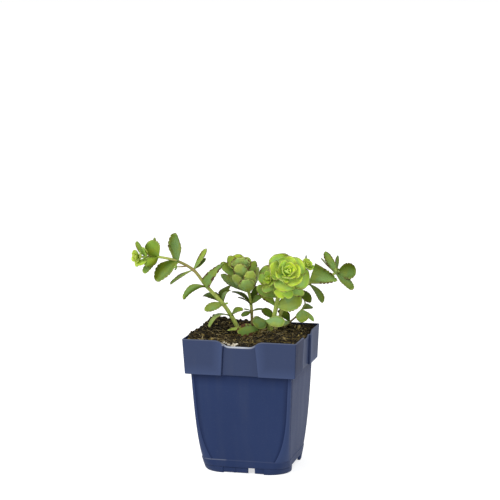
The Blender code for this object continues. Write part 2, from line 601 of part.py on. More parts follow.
def blade(base, tip, face, width, arch, cup, rows, teeth, waist, taper=0.0, widest=WIDEST):
    """A fleshy leaf blade as a closed solid.

    The midrib runs from base to tip and bows towards the upper face by arch. The edges rise towards
    that face by cup, and taper narrows the leaf towards its tip. Both faces are split into triangles alike.
    """
    base, tip = np.asarray(base, float), np.asarray(tip, float)
    chord = tip - base
    length = np.linalg.norm(chord)
    normal = np.asarray(face, float)
    normal = normal - chord * (normal @ chord) / length ** 2
    normal /= np.linalg.norm(normal)
    across = np.cross(chord / length, normal)
    s = np.array(rows)[:, None]
    midrib = base + chord * s + normal * arch * 4 * s * (1 - s)
    along = chord + normal * arch * 4 * (1 - 2 * s)
    along /= np.linalg.norm(along, axis=1)[:, None]
    up = np.cross(across, along)
    half = width / 2 * (outline(s, waist, widest) * (1.0 - taper * s) + np.array(teeth)[:, None])
    shells = []
    for sign in (0.5, -0.5):
        left = midrib - across * half + up * (cup * half + sign * EDGE)
        right = midrib + across * half + up * (cup * half + sign * EDGE)
        shells.append(np.stack([left, midrib + up * sign * BLADE, right], axis=1))
    points = np.concatenate([shell.reshape(-1, 3) for shell in shells])
    return points, blade_faces(len(rows))


def blade_faces(count):
    """Triangles of a blade with count rows of three points on each face."""
    under = 3 * count
    faces = []
    for k in range(count - 1):
        for c in range(2):
            a = 3 * k + c
            quad = (a, a + 1, a + 4, a + 3)
            split = ((0, 1, 2), (0, 2, 3)) if c == 0 else ((0, 1, 3), (1, 2, 3))
            for i, j, m in split:
                faces.append((quad[i], quad[j], quad[m]))
                faces.append((quad[m] + under, quad[j] + under, quad[i] + under))
        for a in (3 * k, 3 * k + 2):
            faces += [(a, a + 3, a + 3 + under), (a, a + 3 + under, a + under)]
    for row in (0, count - 1):
        for c in range(2):
            a = 3 * row + c
            faces += [(a, a + 1, a + 1 + under), (a, a + 1 + under, a + under)]
    return faces


def stem_leaves(twig):
    """The twig's own leaves, from its nodes to their tips."""
    for node, tip, face, width, arch, cup, *clasp in twig["leaves"]:
        waist = LEAF_WAIST + CLASP_BASE * sum(clasp)
        yield blade(twig["route"][node], tip, face, width, arch, cup, LEAF_ROWS, LEAF_TEETH, waist,
                    CLASP_TAPER * sum(clasp))


def rosette_leaves(twig, rosette):
    """Leaves set round an axis, each a golden angle on from the last, longer and wider open outwards."""
    heart = np.array(twig["route"][rosette["at"]], float)
    axis = np.array(rosette["axis"], float)
    axis /= np.linalg.norm(axis)
    first = np.cross(axis, (0.0, 0.0, 1.0))
    first /= np.linalg.norm(first)
    second = np.cross(axis, first)
    for k in range(rosette["count"]):
        share = k / (rosette["count"] - 1)
        spread = radians(np.interp(share ** 0.85, (0, 1), rosette["spread"]))
        length = np.interp(share, (0, 1), rosette["length"])
        turn = radians(rosette["turn"]) + k * GOLDEN
        out = np.cos(turn) * first + np.sin(turn) * second
        base = heart + axis * rosette["depth"] * (0.5 - share) - out * 0.4
        tip = base + length * (np.cos(spread) * axis + np.sin(spread) * out)
        face = np.sin(spread) * axis - np.cos(spread) * out
        rows, teeth = (PETAL_ROWS, PETAL_TEETH) if length > BUD_LENGTH else (BUD_ROWS, BUD_TEETH)
        yield blade(base, tip, face, rosette["ratio"] * length, PETAL_ARCH * length, PETAL_CUP,
                    rows, teeth, PETAL_WAIST, widest=PETAL_WIDEST)


def twig_pieces(twig, rooted):
    """The closed solids of one twig: its stem, its leaves and its rosettes."""
    route = smooth_route(root_route(twig["route"]) if rooted else twig["route"], STEM_STEP)
    radii = np.linspace(*twig["radius"], len(route))
    yield tube(route, radii, STEM_SIDES)
    yield from stem_leaves(twig)
    for rosette in twig["rosettes"]:
        yield from rosette_leaves(twig, rosette)


def build_shoot(name, twigs):
    """One leafy shoot as one solid: every stem and leaf fused together."""
    pieces = []
    for number, twig in enumerate(twigs):
        for points, faces in twig_pieces(twig, rooted=number == 0):
            pieces.append(mesh_object(f"{name}_{len(pieces)}", to_world(points), faces, "leaf"))
    shoot = pieces[0]
    shoot.name = name
    apply_boolean(shoot, pieces[1:], "UNION", "MANIFOLD")
    keep_main_body(shoot)
    return shoot


def stem_hole(name, twig):
    """A plain hole in the soil, a little wider and deeper than the stem's root."""
    route = smooth_route(root_route(twig["route"]), STEM_STEP)
    low = route[route[:, 2] < SOIL_LEVEL + HOLE_REACH]
    direction = (low[1] - low[0]) / np.linalg.norm(low[1] - low[0])
    low = np.vstack([low[0] - direction * HOLE_PLAY, low[1:]])
    points, faces = tube(low, np.full(len(low), twig["radius"][0] + HOLE_PLAY), STEM_SIDES)
    return mesh_object(name + "_hole", to_world(points), faces, "soil")


def build():
    clear_scene()
    nodes = [build_pot(), build_soil([stem_hole(name, twigs[0]) for name, twigs in SHOOTS.items()])]
    nodes += [build_shoot(name, twigs) for name, twigs in SHOOTS.items()]
    for node in nodes:
        lean(node)


build()
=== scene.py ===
# Potted stonecrop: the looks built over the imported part.
# Plans are in millimetres. The pot stands on z = 0 with its front towards -Y. The shoots are laid out as
# (across, toward, height): across runs to the right, toward comes forward, both turned from the pot's sides.
import bmesh
import bpy
import json
import numpy as np
from math import cos, pi, radians, sin
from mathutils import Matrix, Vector

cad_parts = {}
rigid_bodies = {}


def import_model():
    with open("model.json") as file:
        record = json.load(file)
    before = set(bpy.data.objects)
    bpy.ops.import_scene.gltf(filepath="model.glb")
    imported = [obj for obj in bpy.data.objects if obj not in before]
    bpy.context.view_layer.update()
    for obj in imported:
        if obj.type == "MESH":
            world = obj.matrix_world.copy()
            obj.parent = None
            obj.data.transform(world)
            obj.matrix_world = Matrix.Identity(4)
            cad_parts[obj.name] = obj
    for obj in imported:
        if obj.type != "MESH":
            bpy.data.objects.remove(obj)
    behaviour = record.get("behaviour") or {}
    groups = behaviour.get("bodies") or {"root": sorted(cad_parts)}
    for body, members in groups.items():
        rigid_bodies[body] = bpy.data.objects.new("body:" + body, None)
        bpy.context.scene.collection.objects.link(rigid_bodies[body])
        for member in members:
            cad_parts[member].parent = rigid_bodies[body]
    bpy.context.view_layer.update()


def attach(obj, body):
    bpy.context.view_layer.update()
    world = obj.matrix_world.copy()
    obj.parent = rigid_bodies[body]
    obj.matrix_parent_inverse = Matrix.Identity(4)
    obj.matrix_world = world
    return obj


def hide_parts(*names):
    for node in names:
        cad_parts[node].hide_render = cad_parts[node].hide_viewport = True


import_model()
chance = np.random.default_rng(23)
millimetre = 0.001
plantTurn = radians(13.6)
goldenAngle = radians(137.5)


# meshes

def gridFaces(rows, columns):
    # quads between neighbouring points of a grid whose rows are closed rings
    row = np.arange(rows - 1)[:, None] * columns
    here = np.arange(columns)[None, :]
    there = (here + 1) % columns
    return np.stack([row + here, row + there, row + there + columns, row + here + columns], -1).reshape(-1, 4)


def capFaces(rows, columns):
    # triangles that close the first and the last ring of such a grid with the two points that follow it
    here = np.arange(columns)
    there = (here + 1) % columns
    last = (rows - 1) * columns
    pole = np.full(columns, rows * columns)
    return np.concatenate([np.stack([here, there, pole], -1),
                           np.stack([last + here, last + there, pole + 1], -1)])


def joinSurfaces(surfaces):
    # one surface of many, each (points, quads, triangles, marks ...), with its faces counted on
    quads, triangles, total = [], [], 0
    for points, four, three, *marks in surfaces:
        quads.append(four + total)
        triangles.append(three + total)
        total += len(points)
    marks = [np.concatenate([surface[k] for surface in surfaces]) for k in range(3, len(surfaces[0]))]
    return (np.concatenate([surface[0] for surface in surfaces]), np.concatenate(quads),
            np.concatenate(triangles), *marks)


def faceOutwards(mesh):
    work = bmesh.new()
    work.from_mesh(mesh)
    bmesh.ops.recalc_face_normals(work, faces=work.faces)
    work.to_mesh(mesh)
    work.free()


def addPiece(name, surface, markNames, finish, node=None, smooth=True):
    # a surface in millimetres becomes one object at the origin, its marks kept as point attributes
    points, quads, triangles, *markValues = surface
    parts = [np.asarray(part, np.int32) for part in (quads, triangles) if len(part)]
    corners = np.concatenate([part.ravel() for part in parts])
    sizes = np.concatenate([np.full(len(part), part.shape[1]) for part in parts])
    mesh = bpy.data.meshes.new(name)
    mesh.vertices.add(len(points))
    mesh.vertices.foreach_set("co", (leaned(points) * millimetre).astype(np.float32).ravel())
    mesh.loops.add(len(corners))
    mesh.loops.foreach_set("vertex_index", corners)
    mesh.polygons.add(len(sizes))
    mesh.polygons.foreach_set("loop_start", (np.cumsum(sizes) - sizes).astype(np.int32))
    mesh.polygons.foreach_set("use_smooth", np.full(len(sizes), smooth))
    mesh.update(calc_edges=True)
    faceOutwards(mesh)
    for mark, values in zip(markNames, markValues):
        kind, field = ("FLOAT", "value") if values.ndim == 1 else ("FLOAT_VECTOR", "vector")
        mesh.attributes.new(mark, kind, "POINT").data.foreach_set(field, values.astype(np.float32).ravel())
    mesh.materials.append(finish)
    piece = bpy.data.objects.new(name, mesh)
    bpy.context.scene.collection.objects.link(piece)
    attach(piece, "root")
    if node:
        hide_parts(node)
    print(name, len(mesh.polygons), "faces")
    return piece


def softNoise(points, size, seed):
    # value noise from -1 to 1: random values on a lattice, blended smoothly between its corners
    place = np.asarray(points, float) / size + 311.7
    cell = np.floor(place).astype(np.int64)
    part = place - cell
    part = part * part * (3 - 2 * part)
    total = np.zeros(len(place))
    for corner in np.ndindex(2, 2):
        code = (cell + np.array(corner)) @ np.array([73856093, 19349663]) + seed * 2654435
        value = np.sin(code % 104729 * 12.9898) * 43758.5453
        weight = np.prod(np.where(np.array(corner) == 1, part, 1 - part), axis=1)
        total += weight * (2 * (value - np.floor(value)) - 1)
    return total


# finishes

def newFinish(name, roughness, specular, **more):
    # a node material whose Principled shader holds these plain settings, an underscore for each space
    finish = bpy.data.materials.new(name)
    finish.use_nodes = True
    tree = finish.node_tree
    settings = {"Roughness": roughness, "Specular_IOR_Level": specular, **more}
    for socket, value in settings.items():
        tree.nodes["Principled BSDF"].inputs[socket.replace("_", " ")].default_value = value
    return finish, tree


def feed(tree, socket, value):
    # links a pattern to an input of the shader
    tree.links.new(value, tree.nodes["Principled BSDF"].inputs[socket])


def addNode(tree, kind, links=None, **settings):
    # makes a node: settings are its properties, links its inputs as sockets or plain values
    made = tree.nodes.new("ShaderNode" + kind)
    for key, value in settings.items():
        setattr(made, key, value)
    for key, value in (links or {}).items():
        if isinstance(value, bpy.types.NodeSocket):
            tree.links.new(value, made.inputs[key])
        else:
            made.inputs[key].default_value = value
    return made


def readMark(tree, mark, output="Fac"):
    return addNode(tree, "Attribute", attribute_name=mark).outputs[output]


def split(tree, vector):
    return addNode(tree, "SeparateXYZ", {0: vector}).outputs[:]


def calc(tree, operation, first, second, clamp=False):
    return addNode(tree, "Math", {0: first, 1: second}, operation=operation, use_clamp=clamp).outputs[0]


def times(tree, first, second, clamp=False):
    return calc(tree, "MULTIPLY", first, second, clamp)


def rest(tree, value):
    # what is left of 1
    return calc(tree, "SUBTRACT", 1.0, value, True)


def between(tree, value, low, high):
    # rises smoothly from 0 at low to 1 at high
    return addNode(tree, "MapRange", {"Value": value, "From Min": low, "From Max": high},
                   interpolation_type="SMOOTHSTEP").outputs[0]


def tint(tree, colour, other, share, most=1.0, mode="MIX"):
    # turns a colour into another one by share times most
    share = share if most == 1.0 else times(tree, share, most)
    colour, other = [(*value, 1.0) if isinstance(value, tuple) else value for value in (colour, other)]
    mixed = addNode(tree, "Mix", {0: share, 6: colour, 7: other}, data_type="RGBA", blend_type=mode,
                    clamp_factor=True)
    return mixed.outputs[2]


def noise(tree, scale, detail, stretch=None):
    # noise on the piece's own coordinates, in metres, stretched where stretch is given
    place = addNode(tree, "TexCoord").outputs["Object"]
    if stretch:
        place = addNode(tree, "Mapping", {"Vector": place, "Scale": stretch}).outputs[0]
    return addNode(tree, "TexNoise", {"Vector": place, "Scale": scale, "Detail": detail}).outputs[0]


def relief(tree, height, distance, strength):
    bump = addNode(tree, "Bump", {"Height": height, "Distance": distance, "Strength": strength})
    feed(tree, "Normal", bump.outputs[0])


def potFinish():
    # satin blue plastic: clouded colour, faint upright streaks and dust, painted shade and less gloss in the
    # creases. Its point mark holds (pale painted highlight, painted shade, painted highlight band)
    p = potPlan
    finish, tree = newFinish("blue satin plastic", 0.45, 0.07)
    paintedPaleHighlight, crease, paintedHighlightBand = split(tree, readMark(tree, "paintedLight", "Vector"))
    facing = addNode(tree, "LayerWeight").outputs["Facing"]
    gloss = calc(tree, "ADD", times(tree, between(tree, facing, 0.85, 0.3), 0.07), 0.03)
    feed(tree, "Specular IOR Level", times(tree, gloss, rest(tree, crease)))
    streak = noise(tree, 120.0, 4.0, (1.0, 1.0, 0.12))
    dust = between(tree, noise(tree, 900.0, 2.0), 0.60, 0.72)
    upward = split(tree, addNode(tree, "TexCoord").outputs["Object"])[2]
    skirt = between(tree, upward, (p["skirtBottom"] - 0.4) * millimetre,
                    (p["skirtBottom"] + 0.2) * millimetre)
    colour = tint(tree, p["deepBlue"], p["lightBlue"], noise(tree, 26.0, 2.0))
    colour = tint(tree, colour, p["skirtBlue"], skirt, 0.55)
    colour = tint(tree, colour, p["streakGrey"], between(tree, streak, 0.42, 0.75), 0.22)
    colour = tint(tree, colour, p["dustGrey"], dust, 0.05)
    # painted light: a painted highlight band, painted shade in the creases and a pale painted highlight
    colour = tint(tree, colour, p["paintedHighlightBlue"], paintedHighlightBand, 0.5)
    colour = tint(tree, colour, p["creaseShade"], crease, mode="MULTIPLY")
    feed(tree, "Base Color", tint(tree, colour, p["paintedHighlightGrey"], paintedPaleHighlight))
    dull = addNode(tree, "MapRange", {"Value": streak, "To Min": 0.34, "To Max": 0.52})
    feed(tree, "Roughness", dull.outputs[0])
    relief(tree, noise(tree, 420.0, 3.0), 0.0002, 0.35)
    return finish


def soilFinish():
    # dark peat, mottled from near black to brown, with a crumbly relief
    finish, tree = newFinish("dark peat", 0.95, 0.12)
    mottle = between(tree, noise(tree, 340.0, 5.0), 0.38, 0.68)
    fleck = between(tree, noise(tree, 1100.0, 3.0), 0.60, 0.70)
    colour = tint(tree, soilPlan["dark"], soilPlan["brown"], mottle)
    feed(tree, "Base Color", tint(tree, colour, soilPlan["tan"], fleck, 0.55))
    relief(tree, noise(tree, 700.0, 6.0), 0.0008, 0.9)
    return finish


def litterFinish():
    # crumbs, bark and fibres: the mark "paleness" runs from black peat through rust to straw
    finish, tree = newFinish("peat litter", 0.85, 0.15)
    ramp = addNode(tree, "ValToRGB", {"Fac": readMark(tree, "paleness")})
    steps = ramp.color_ramp.elements
    first, *middle, last = litterPlan["colours"]
    for step, (place, colour) in zip(steps, (first, last)):
        step.position, step.color = place, (*colour, 1.0)
    for place, colour in middle:
        steps.new(place).color = (*colour, 1.0)
    grain = between(tree, noise(tree, 1500.0, 4.0), 0.3, 0.75)
    feed(tree, "Base Color", tint(tree, ramp.outputs[0], litterPlan["grain"], grain, 0.6, "MULTIPLY"))
    relief(tree, noise(tree, 1600.0, 4.0), 0.0003, 0.7)
    return finish


def leafFinish():
    # fleshy leaf: place is (along, across, upper side), tone is (youth, bloom, redness) and shade darkens.
    # From the ground colour up: young tones and the heart's lime (raised as painted light), bloom on the
    # middle, paler underside, warm and cool patches, midrib, light margin, red rim with blotches, painted
    # shade
    look = leafPlan["colours"]
    finish, tree = newFinish("fleshy leaf", 0.46, 0.12, Subsurface_Weight=0.12,
                             Subsurface_Radius=(0.9, 1.0, 0.25), Subsurface_Scale=0.0012)
    along, across, upper = split(tree, readMark(tree, "place", "Vector"))
    youth, bloom, redness = split(tree, readMark(tree, "tone", "Vector"))
    shade = readMark(tree, "shade")
    side = calc(tree, "ABSOLUTE", across, 0.0)
    cloud = noise(tree, 210.0, 4.0)
    colour = tint(tree, look["mature"], look["young"], youth)
    # painted light: youth past 1 runs to a lime raised above the leaves' own, to light up the deep hearts
    colour = tint(tree, colour, look["heart"], calc(tree, "SUBTRACT", youth, 1.0, True))
    colour = tint(tree, colour, look["bright"], between(tree, cloud, 0.35, 0.7), 0.35)
    middle = times(tree, between(tree, side, 0.98, 0.45), between(tree, along, 1.0, 0.7))
    bloomed = times(tree, times(tree, middle, bloom), calc(tree, "ADD", cloud, 0.35))
    colour = tint(tree, colour, tint(tree, look["bloom"], look["sage"], youth), bloomed)
    colour = tint(tree, colour, look["under"], between(tree, upper, 0.5, 0.2), 0.6)
    patch = between(tree, noise(tree, 105.0, 2.0), 0.40, 0.62)
    colour = tint(tree, colour, tint(tree, look["cool"], look["warm"], patch), 0.8, mode="MULTIPLY")
    rib = times(tree, between(tree, side, 0.10, 0.02), between(tree, along, 0.85, 0.2))
    colour = tint(tree, colour, look["rib"], rib, 0.35)
    margin = calc(tree, "MAXIMUM", between(tree, side, 0.70, 0.97), between(tree, along, 0.90, 0.995))
    colour = tint(tree, colour, look["margin"], margin, 0.45)
    rim = calc(tree, "MAXIMUM", between(tree, side, 0.90, 0.975), between(tree, along, 0.965, 0.995))
    blotch = times(tree, between(tree, noise(tree, 330.0, 2.0), 0.36, 0.62), between(tree, side, 0.45, 1.0))
    red = calc(tree, "MAXIMUM", rim, times(tree, blotch, redness))
    colour = tint(tree, colour, look["red"], times(tree, red, calc(tree, "ADD", redness, 0.25), True))
    feed(tree, "Base Color", tint(tree, colour, look["shadow"], shade, mode="MULTIPLY"))
    feed(tree, "Specular IOR Level", times(tree, rest(tree, shade), 0.12))
    relief(tree, noise(tree, 800.0, 3.0), 0.00012, 0.5)
    return finish


def stemFinish():
    # smooth stem: the mark "tan" turns lime green into reddish tan, with fine lengthwise flecks
    finish, tree = newFinish("stem skin", 0.45, 0.15, Subsurface_Weight=0.08, Subsurface_Scale=0.001)
    fleck = noise(tree, 600.0, 3.0, (1.0, 1.0, 0.25))
    colour = tint(tree, stemPlan["lime"], stemPlan["tan"], readMark(tree, "tan"))
    feed(tree, "Base Color", tint(tree, colour, stemPlan["fleck"], between(tree, fleck, 0.5, 0.75), 0.4))
    relief(tree, fleck, 0.00015, 0.5)
    return finish


# pot

potPlan = dict(
    height=108.0, wall=1.1, lean=(1.3, 104.0),        # how far it leans to the left, and up to which height
    rimHalf=45.6, skirtHalf=44.2, skirtBottom=80.0, rimRadius=1.2,
    bodyHalf=40.5, footHalf=34.9, swell=0.09, topRadius=2.5, footRadius=17.7, radiusFall=4.9,
    panelTop=12.3, panelBottom=14.3, panelDepth=1.9, step=0.45,
    dip=4.6, dipHalf=18.0, dipRamp=9.5, dipClear=0.3,
    ridge=10.4, ridgeStep=0.35, crease=0.16, edgeInset=(0.4, 0.1),
    recess=0.8, recessHalf=16.2, recessHeight=4.8, recessLift=0.5,
    notch=(-9.0, -3.6, 4.6), notchSlope=0.18, rib=(6.6, 7.6, 0.5),          # from, to, height or depth
    footWall=2.4, floorUnder=5.2, floorTop=6.4, pad=12.0, drain=(3.6, 22.0),    # its radius and place
    # the pale painted highlights on the ridge and on the front dip's lip:
    ridgeHighlight=(-21, 6.5), rimHighlight=(-2.0, 14),                                   # place and reach to either side
    deepBlue=(0.0105, 0.0215, 0.068), lightBlue=(0.0145, 0.0275, 0.082), skirtBlue=(0.036, 0.048, 0.092),
    # the band blue and the pale grey are painted highlights, the crease colour multiplies in painted shade
    paintedHighlightBlue=(0.045, 0.068, 0.150), streakGrey=(0.036, 0.046, 0.082), dustGrey=(0.10, 0.11, 0.14),
    paintedHighlightGrey=(0.36, 0.38, 0.43), creaseShade=(0.30, 0.30, 0.42))


def leaned(points):
    # the thin pot has settled a little to the left between its foot and its rim, and all it holds with it
    points = np.array(points, float)
    reach, top = potPlan["lean"]
    points[:, 0] -= reach * np.clip(points[:, 2] / top, 0, 1)
    return points


def bodyHalfAt(z):
    # widens upwards, swelling by a sine from straight
    share = z / potPlan["skirtBottom"]
    grown = potPlan["bodyHalf"] - potPlan["footHalf"]
    return potPlan["footHalf"] + grown * (share + potPlan["swell"] * sin(pi * share))


def bodyRadiusAt(z):
    # corners far rounder towards the foot, by a power of the way down
    p = potPlan
    share = max(1 - z / p["skirtBottom"], 0)
    return p["topRadius"] + (p["footRadius"] - p["topRadius"]) * share ** p["radiusFall"]


def skirtAt(z, low, high):
    # straight from one value at the skirt's lower edge to another at the rim
    share = (z - potPlan["skirtBottom"]) / (potPlan["height"] - potPlan["skirtBottom"])
    return low + (high - low) * share


def panelHalfAt(z):
    return skirtAt(z, potPlan["panelBottom"], potPlan["panelTop"])


def rimDip(along):
    # a dip in the middle of each side that comes down smoothly at either end
    share = np.clip((potPlan["dipHalf"] - np.abs(along)) / potPlan["dipRamp"], 0, 1)
    return potPlan["dip"] * share * share * (3 - 2 * share)


def bodyRow(z, inset=0.0, depth=0.0, notched=0):
    # a row of the body: (half width, corner radius, height, panel half, panel depth, share of the rim's dip,
    # share of the notches)
    return bodyHalfAt(z) - inset, bodyRadiusAt(z), z, potPlan["recessHalf"], depth, 0, notched


def skirtRow(z, inset=0.0):
    # the same for the skirt, where the dip grows with the square of the height
    p = potPlan
    half = skirtAt(z, p["skirtHalf"], p["rimHalf"])
    return half - inset, p["rimRadius"], z, panelHalfAt(z), p["panelDepth"], skirtAt(z, 0, 1) ** 2, 0


def potColumns():
    # the columns of one side, from its first corner to the next, as (arc share, block share, step share,
    # panel share, kind): kind 0 is the corner arc, 1 a proud block, 2 a step, 3 the middle panel, and the
    # block and step past the panel are negative
    blocks = (0.012, 0.03, 0.2, 0.4, 0.58, 0.72, 0.83, 0.91, 0.975)
    steps = (0.0, 0.12, 0.3, 0.5, 0.7, 0.88, 1.0)
    panel = (0.975, 0.9, 0.8, 0.65, 0.475, 0.469, 0.407, 0.401, 0.3, 0.15, 0.0, -0.12, -0.2190, -0.2225,
             -0.39, -0.5553, -0.5590, -0.65, -0.8, -0.9, -0.975)       # in pairs at the rib and the notch
    columns = [(turned, 0, 0, 0, 0) for turned in np.linspace(1, 0, 15)]
    columns += [(0, block, 0, 0, 1) for block in blocks] + [(0, 0, step, 0, 2) for step in steps]
    columns += [(0, 0, 0, share, 3) for share in panel]
    columns += [(0, 0, step, 0, -2) for step in steps[::-1]]
    columns += [(0, block, 0, 0, -1) for block in blocks[::-1]]
    return np.array(columns).T


def potRows(rows):
    # rings of the pot as one grid: each side is worked out as (outward, along) and turned a quarter each
    # time. Its block and step lie on the half width, less the panel's depth, the corner is an arc of the
    # radius, and the notches lift the rows of the foot
    p = potPlan
    half, radius, z, panel, depth, dip, notch = [np.array(values, float)[:, None] for values in zip(*rows)]
    turned, block, step, share, kind = [values[None, :] for values in potColumns()]
    onArc, onBlock, onStep, onPanel = [np.abs(kind) == number for number in range(4)]
    side = np.sign(kind + 0.5)
    shelf = panel + p["step"]
    begins = np.arcsin(np.clip((p["dipHalf"] + p["dipClear"] - half + radius) / radius, 0, 1))
    angle = begins + (pi / 2 - 2 * begins) * turned
    reached = half - radius + radius * np.sin(begins)
    rounded = step * step * (3 - 2 * step)
    out = np.select([onArc, onStep, onPanel],
                    [half - radius + radius * np.cos(angle), half - depth * rounded, half - depth], half)
    along = np.select([onArc, onBlock, onStep, onPanel], [
        half - radius + radius * np.sin(angle), side * (reached + (shelf - reached) * block),
        side * (shelf - p["step"] * step), panel * share])
    past = np.clip(np.abs(along) - half + radius, 0, 0.999 * radius)
    out = out - np.where(onArc, 0, radius - np.sqrt(radius ** 2 - past ** 2))
    creased = onBlock & (block < 0.02) & (z < p["skirtBottom"]) & (z > p["ridge"])
    out = out - np.where(creased, p["crease"], 0)
    place = share * p["recessHalf"]
    notchFrom, notchTo, notchTop = p["notch"]
    inNotch = (place > notchFrom - 0.01) & (place < notchTo + 0.01) & onPanel
    inOpening = (np.abs(share) < 0.98) & onPanel
    ribFrom, ribTo, ribOut = p["rib"]
    onRib = (place > ribFrom - 0.01) & (place < ribTo + 0.01) & onPanel
    out = out + np.where(onRib & (z < p["recessHeight"] - 0.1) & (depth > 0), ribOut, 0)
    height = z - rimDip(along) * dip + 0 * out
    height = np.where(onPanel & (notch > 0), np.maximum(height, np.maximum(z, p["recessLift"])), height)
    squeezed = notchTop + p["notchSlope"] * np.clip(z, 0, p["recessHeight"]) / p["recessHeight"]
    sides = []
    for quarter in range(4):
        turn = quarter * pi / 2
        gap = (inNotch if quarter == 3 else inOpening) & (notch > 0) & (z < p["recessHeight"])
        sides.append(np.stack([out * cos(turn) + along * sin(turn), out * sin(turn) - along * cos(turn),
                               np.where(gap, np.maximum(height, squeezed), height)], -1))
    return np.concatenate(sides, axis=1)


def roundRow(reach, z):
    # a circle whose points have the same bearings as a pot ring's
    ring = potRows([(potPlan["footHalf"], 8.0, 0, potPlan["recessHalf"], 0, 0, 0)])[0]
    flat = ring[:, :2] * (reach / np.hypot(ring[:, 0], ring[:, 1]))[:, None]
    return np.column_stack([flat, np.full(len(flat), z)])[None]


def potSection():
    # the wall's section: the hollow under the foot, up the outside, over the lip and down the inside
    p = potPlan
    recess, depth, wall = p["recessHalf"], p["recess"], p["wall"]
    hollow = [(p["footHalf"] - p["footWall"], p["footRadius"] - 1, z, recess, 0, 0, notched)
              for z, notched in ((p["floorUnder"], 0), (4.7, 0), (3.0, 1), (0.0, 1))]
    outer = [(p["footHalf"] - inset, p["footRadius"], z, recess, depth, 0, 1)
             for inset, z in zip(p["edgeInset"], (0.0, 0.35))]
    outer += [bodyRow(z, 0, depth, 1) for z in (1.0, 2.2, 3.4, 4.4, 4.75)] + [bodyRow(4.8, 0.5, depth)]
    outer += [bodyRow(z, inset) for z, inset in (
        (4.95, 0.1), (5.2, 0.0), (7.0, 0.0), (9.0, 0.0), (10.0, 0.0), (p["ridge"], -0.08), (10.62, 0.04),
        (10.8, 0.28), (11.1, 0.34), (11.6, 0.33), (12.6, 0.32), (14.5, 0.31))]
    outer += [bodyRow(z, p["ridgeStep"] * (80 - z) / 80)
              for z in (17.0, 20.0, 24.0, 28.0, *np.linspace(34, 79.4, 11))]
    outer.append((p["bodyHalf"] + 0.12, p["topRadius"], 79.95, recess, 0, 0, 0))
    outer += [(p["skirtHalf"] - inset, p["rimRadius"], z, p["panelBottom"], p["panelDepth"], 0, 0)
              for inset, z in ((2.4, 80.02), (0.62, 80.0), (0.28, 80.06), (0.08, 80.28), (0.0, 80.62))]
    outer += [skirtRow(z) for z in (82, 85, 89, 93, 97, 100, 102.5, 104.5, 105.8, 106.6, 107.1)]
    lip = 0.5 * wall
    over = [(p["rimHalf"] - lip + lip * cos(turn), p["rimRadius"], p["height"] - lip + lip * sin(turn),
             p["panelTop"], p["panelDepth"], 1, 0) for turn in np.linspace(0.1, pi - 0.1, 8)]
    inner = [skirtRow(z, wall) for z in (106.5, 104.5, 101, 96, 90, 81.1)]
    inner.append((p["bodyHalf"] - wall, p["topRadius"], 81.05, recess, 0, 0, 0))
    inner += [bodyRow(z, wall + p["ridgeStep"]) for z in (55, 30, 20, 13, p["floorTop"])]
    return hollow, outer, over, inner


def potMarks(grid, skin, lip, outerHeights):
    # per point: a pale painted highlight (the lip of the front dip, faintly all the lip, the ridge), painted
    # shade (corners of the body, feet of the steps, under the skirt, the near right block), the same
    # darkening inside, and a painted highlight band (rounded block edges, the skirt's foot, beside the panel,
    # corners)
    p = potPlan
    rows, columns = grid.shape[:2]
    x, y = grid[..., 0], grid[..., 1]
    block, step, share, kind = np.tile(potColumns()[1:], 4)[:, None, :]
    onArc, onBlock, onStep, onPanel = [np.abs(kind) == number for number in range(4)]
    heights = np.zeros((rows, 1))
    heights[skin:lip, 0] = outerHeights
    onSkirt = heights > p["skirtBottom"] + 0.1
    onBody = (heights > p["ridge"] + 0.4) & (heights < p["skirtBottom"] - 0.3)
    # painted highlight: pale grey on the front dip's lip and on the ridge, faintly along all the lip
    paintedPaleHighlight = np.zeros((rows, columns))
    highlightAt, highlightReach = p["rimHighlight"]
    middle = np.clip(1.35 - np.abs(x[lip] - highlightAt) / highlightReach, 0, 1)
    paintedPaleHighlight[lip - 2:lip + 6] = np.where((onStep | onPanel) & (y[lip] < -30), 0.95 * middle, 0.0)
    paintedPaleHighlight[lip:lip + 6] = np.maximum(paintedPaleHighlight[lip:lip + 6], 0.10)
    ridgeHighlightAt, ridgeHighlightReach = p["ridgeHighlight"]
    paintedPaleHighlight[skin + 13:skin + 16] = np.where((np.abs(x[skin] - ridgeHighlightAt) < ridgeHighlightReach) & (y[skin] < 0), 0.16, 0.02)
    # painted shade: creases, step feet, under the skirt, the near right block; the wall's inside darkened too
    crease = onBody * onBlock * np.interp(block, (0.02, 0.05), (0.7, 0))
    crease = crease + onSkirt * (step > 0.65) * np.where(kind == 2, 1.0, 0.8)
    crease = np.maximum(crease, onBody * np.interp(heights, (70, 79.4), (0, 0.4)))
    nearRight = (x + y > 0) & (y < -15)
    crease = np.maximum(crease, onSkirt * nearRight * 0.6)
    crease[lip + 7:] = 1
    # painted highlight band: rounded block edges, the skirt's foot, beside the panel, the body's corners
    rounded = onBlock * np.interp(block, (0.72, 0.91, 0.975, 1.0), (0, 0.55, 0.9, 0.4))
    lower = (onArc | onBlock) * np.interp(heights, (80.4, 82, 85, 89), (0.9, 0.6, 0.3, 0))
    beside = onPanel * np.interp(np.abs(share), (0.85, 0.975), (0, 0.5))
    paintedHighlightBand = onSkirt * np.maximum(np.maximum(rounded, lower), beside)
    paintedHighlightBand = paintedHighlightBand + onBody * onArc * np.where(x > 0, 0.6, 0.3)
    marks = np.stack([values * np.ones((rows, columns)) for values in (paintedPaleHighlight, crease, paintedHighlightBand)], -1)
    return np.concatenate([marks.reshape(-1, 3), np.zeros((2, 3))])


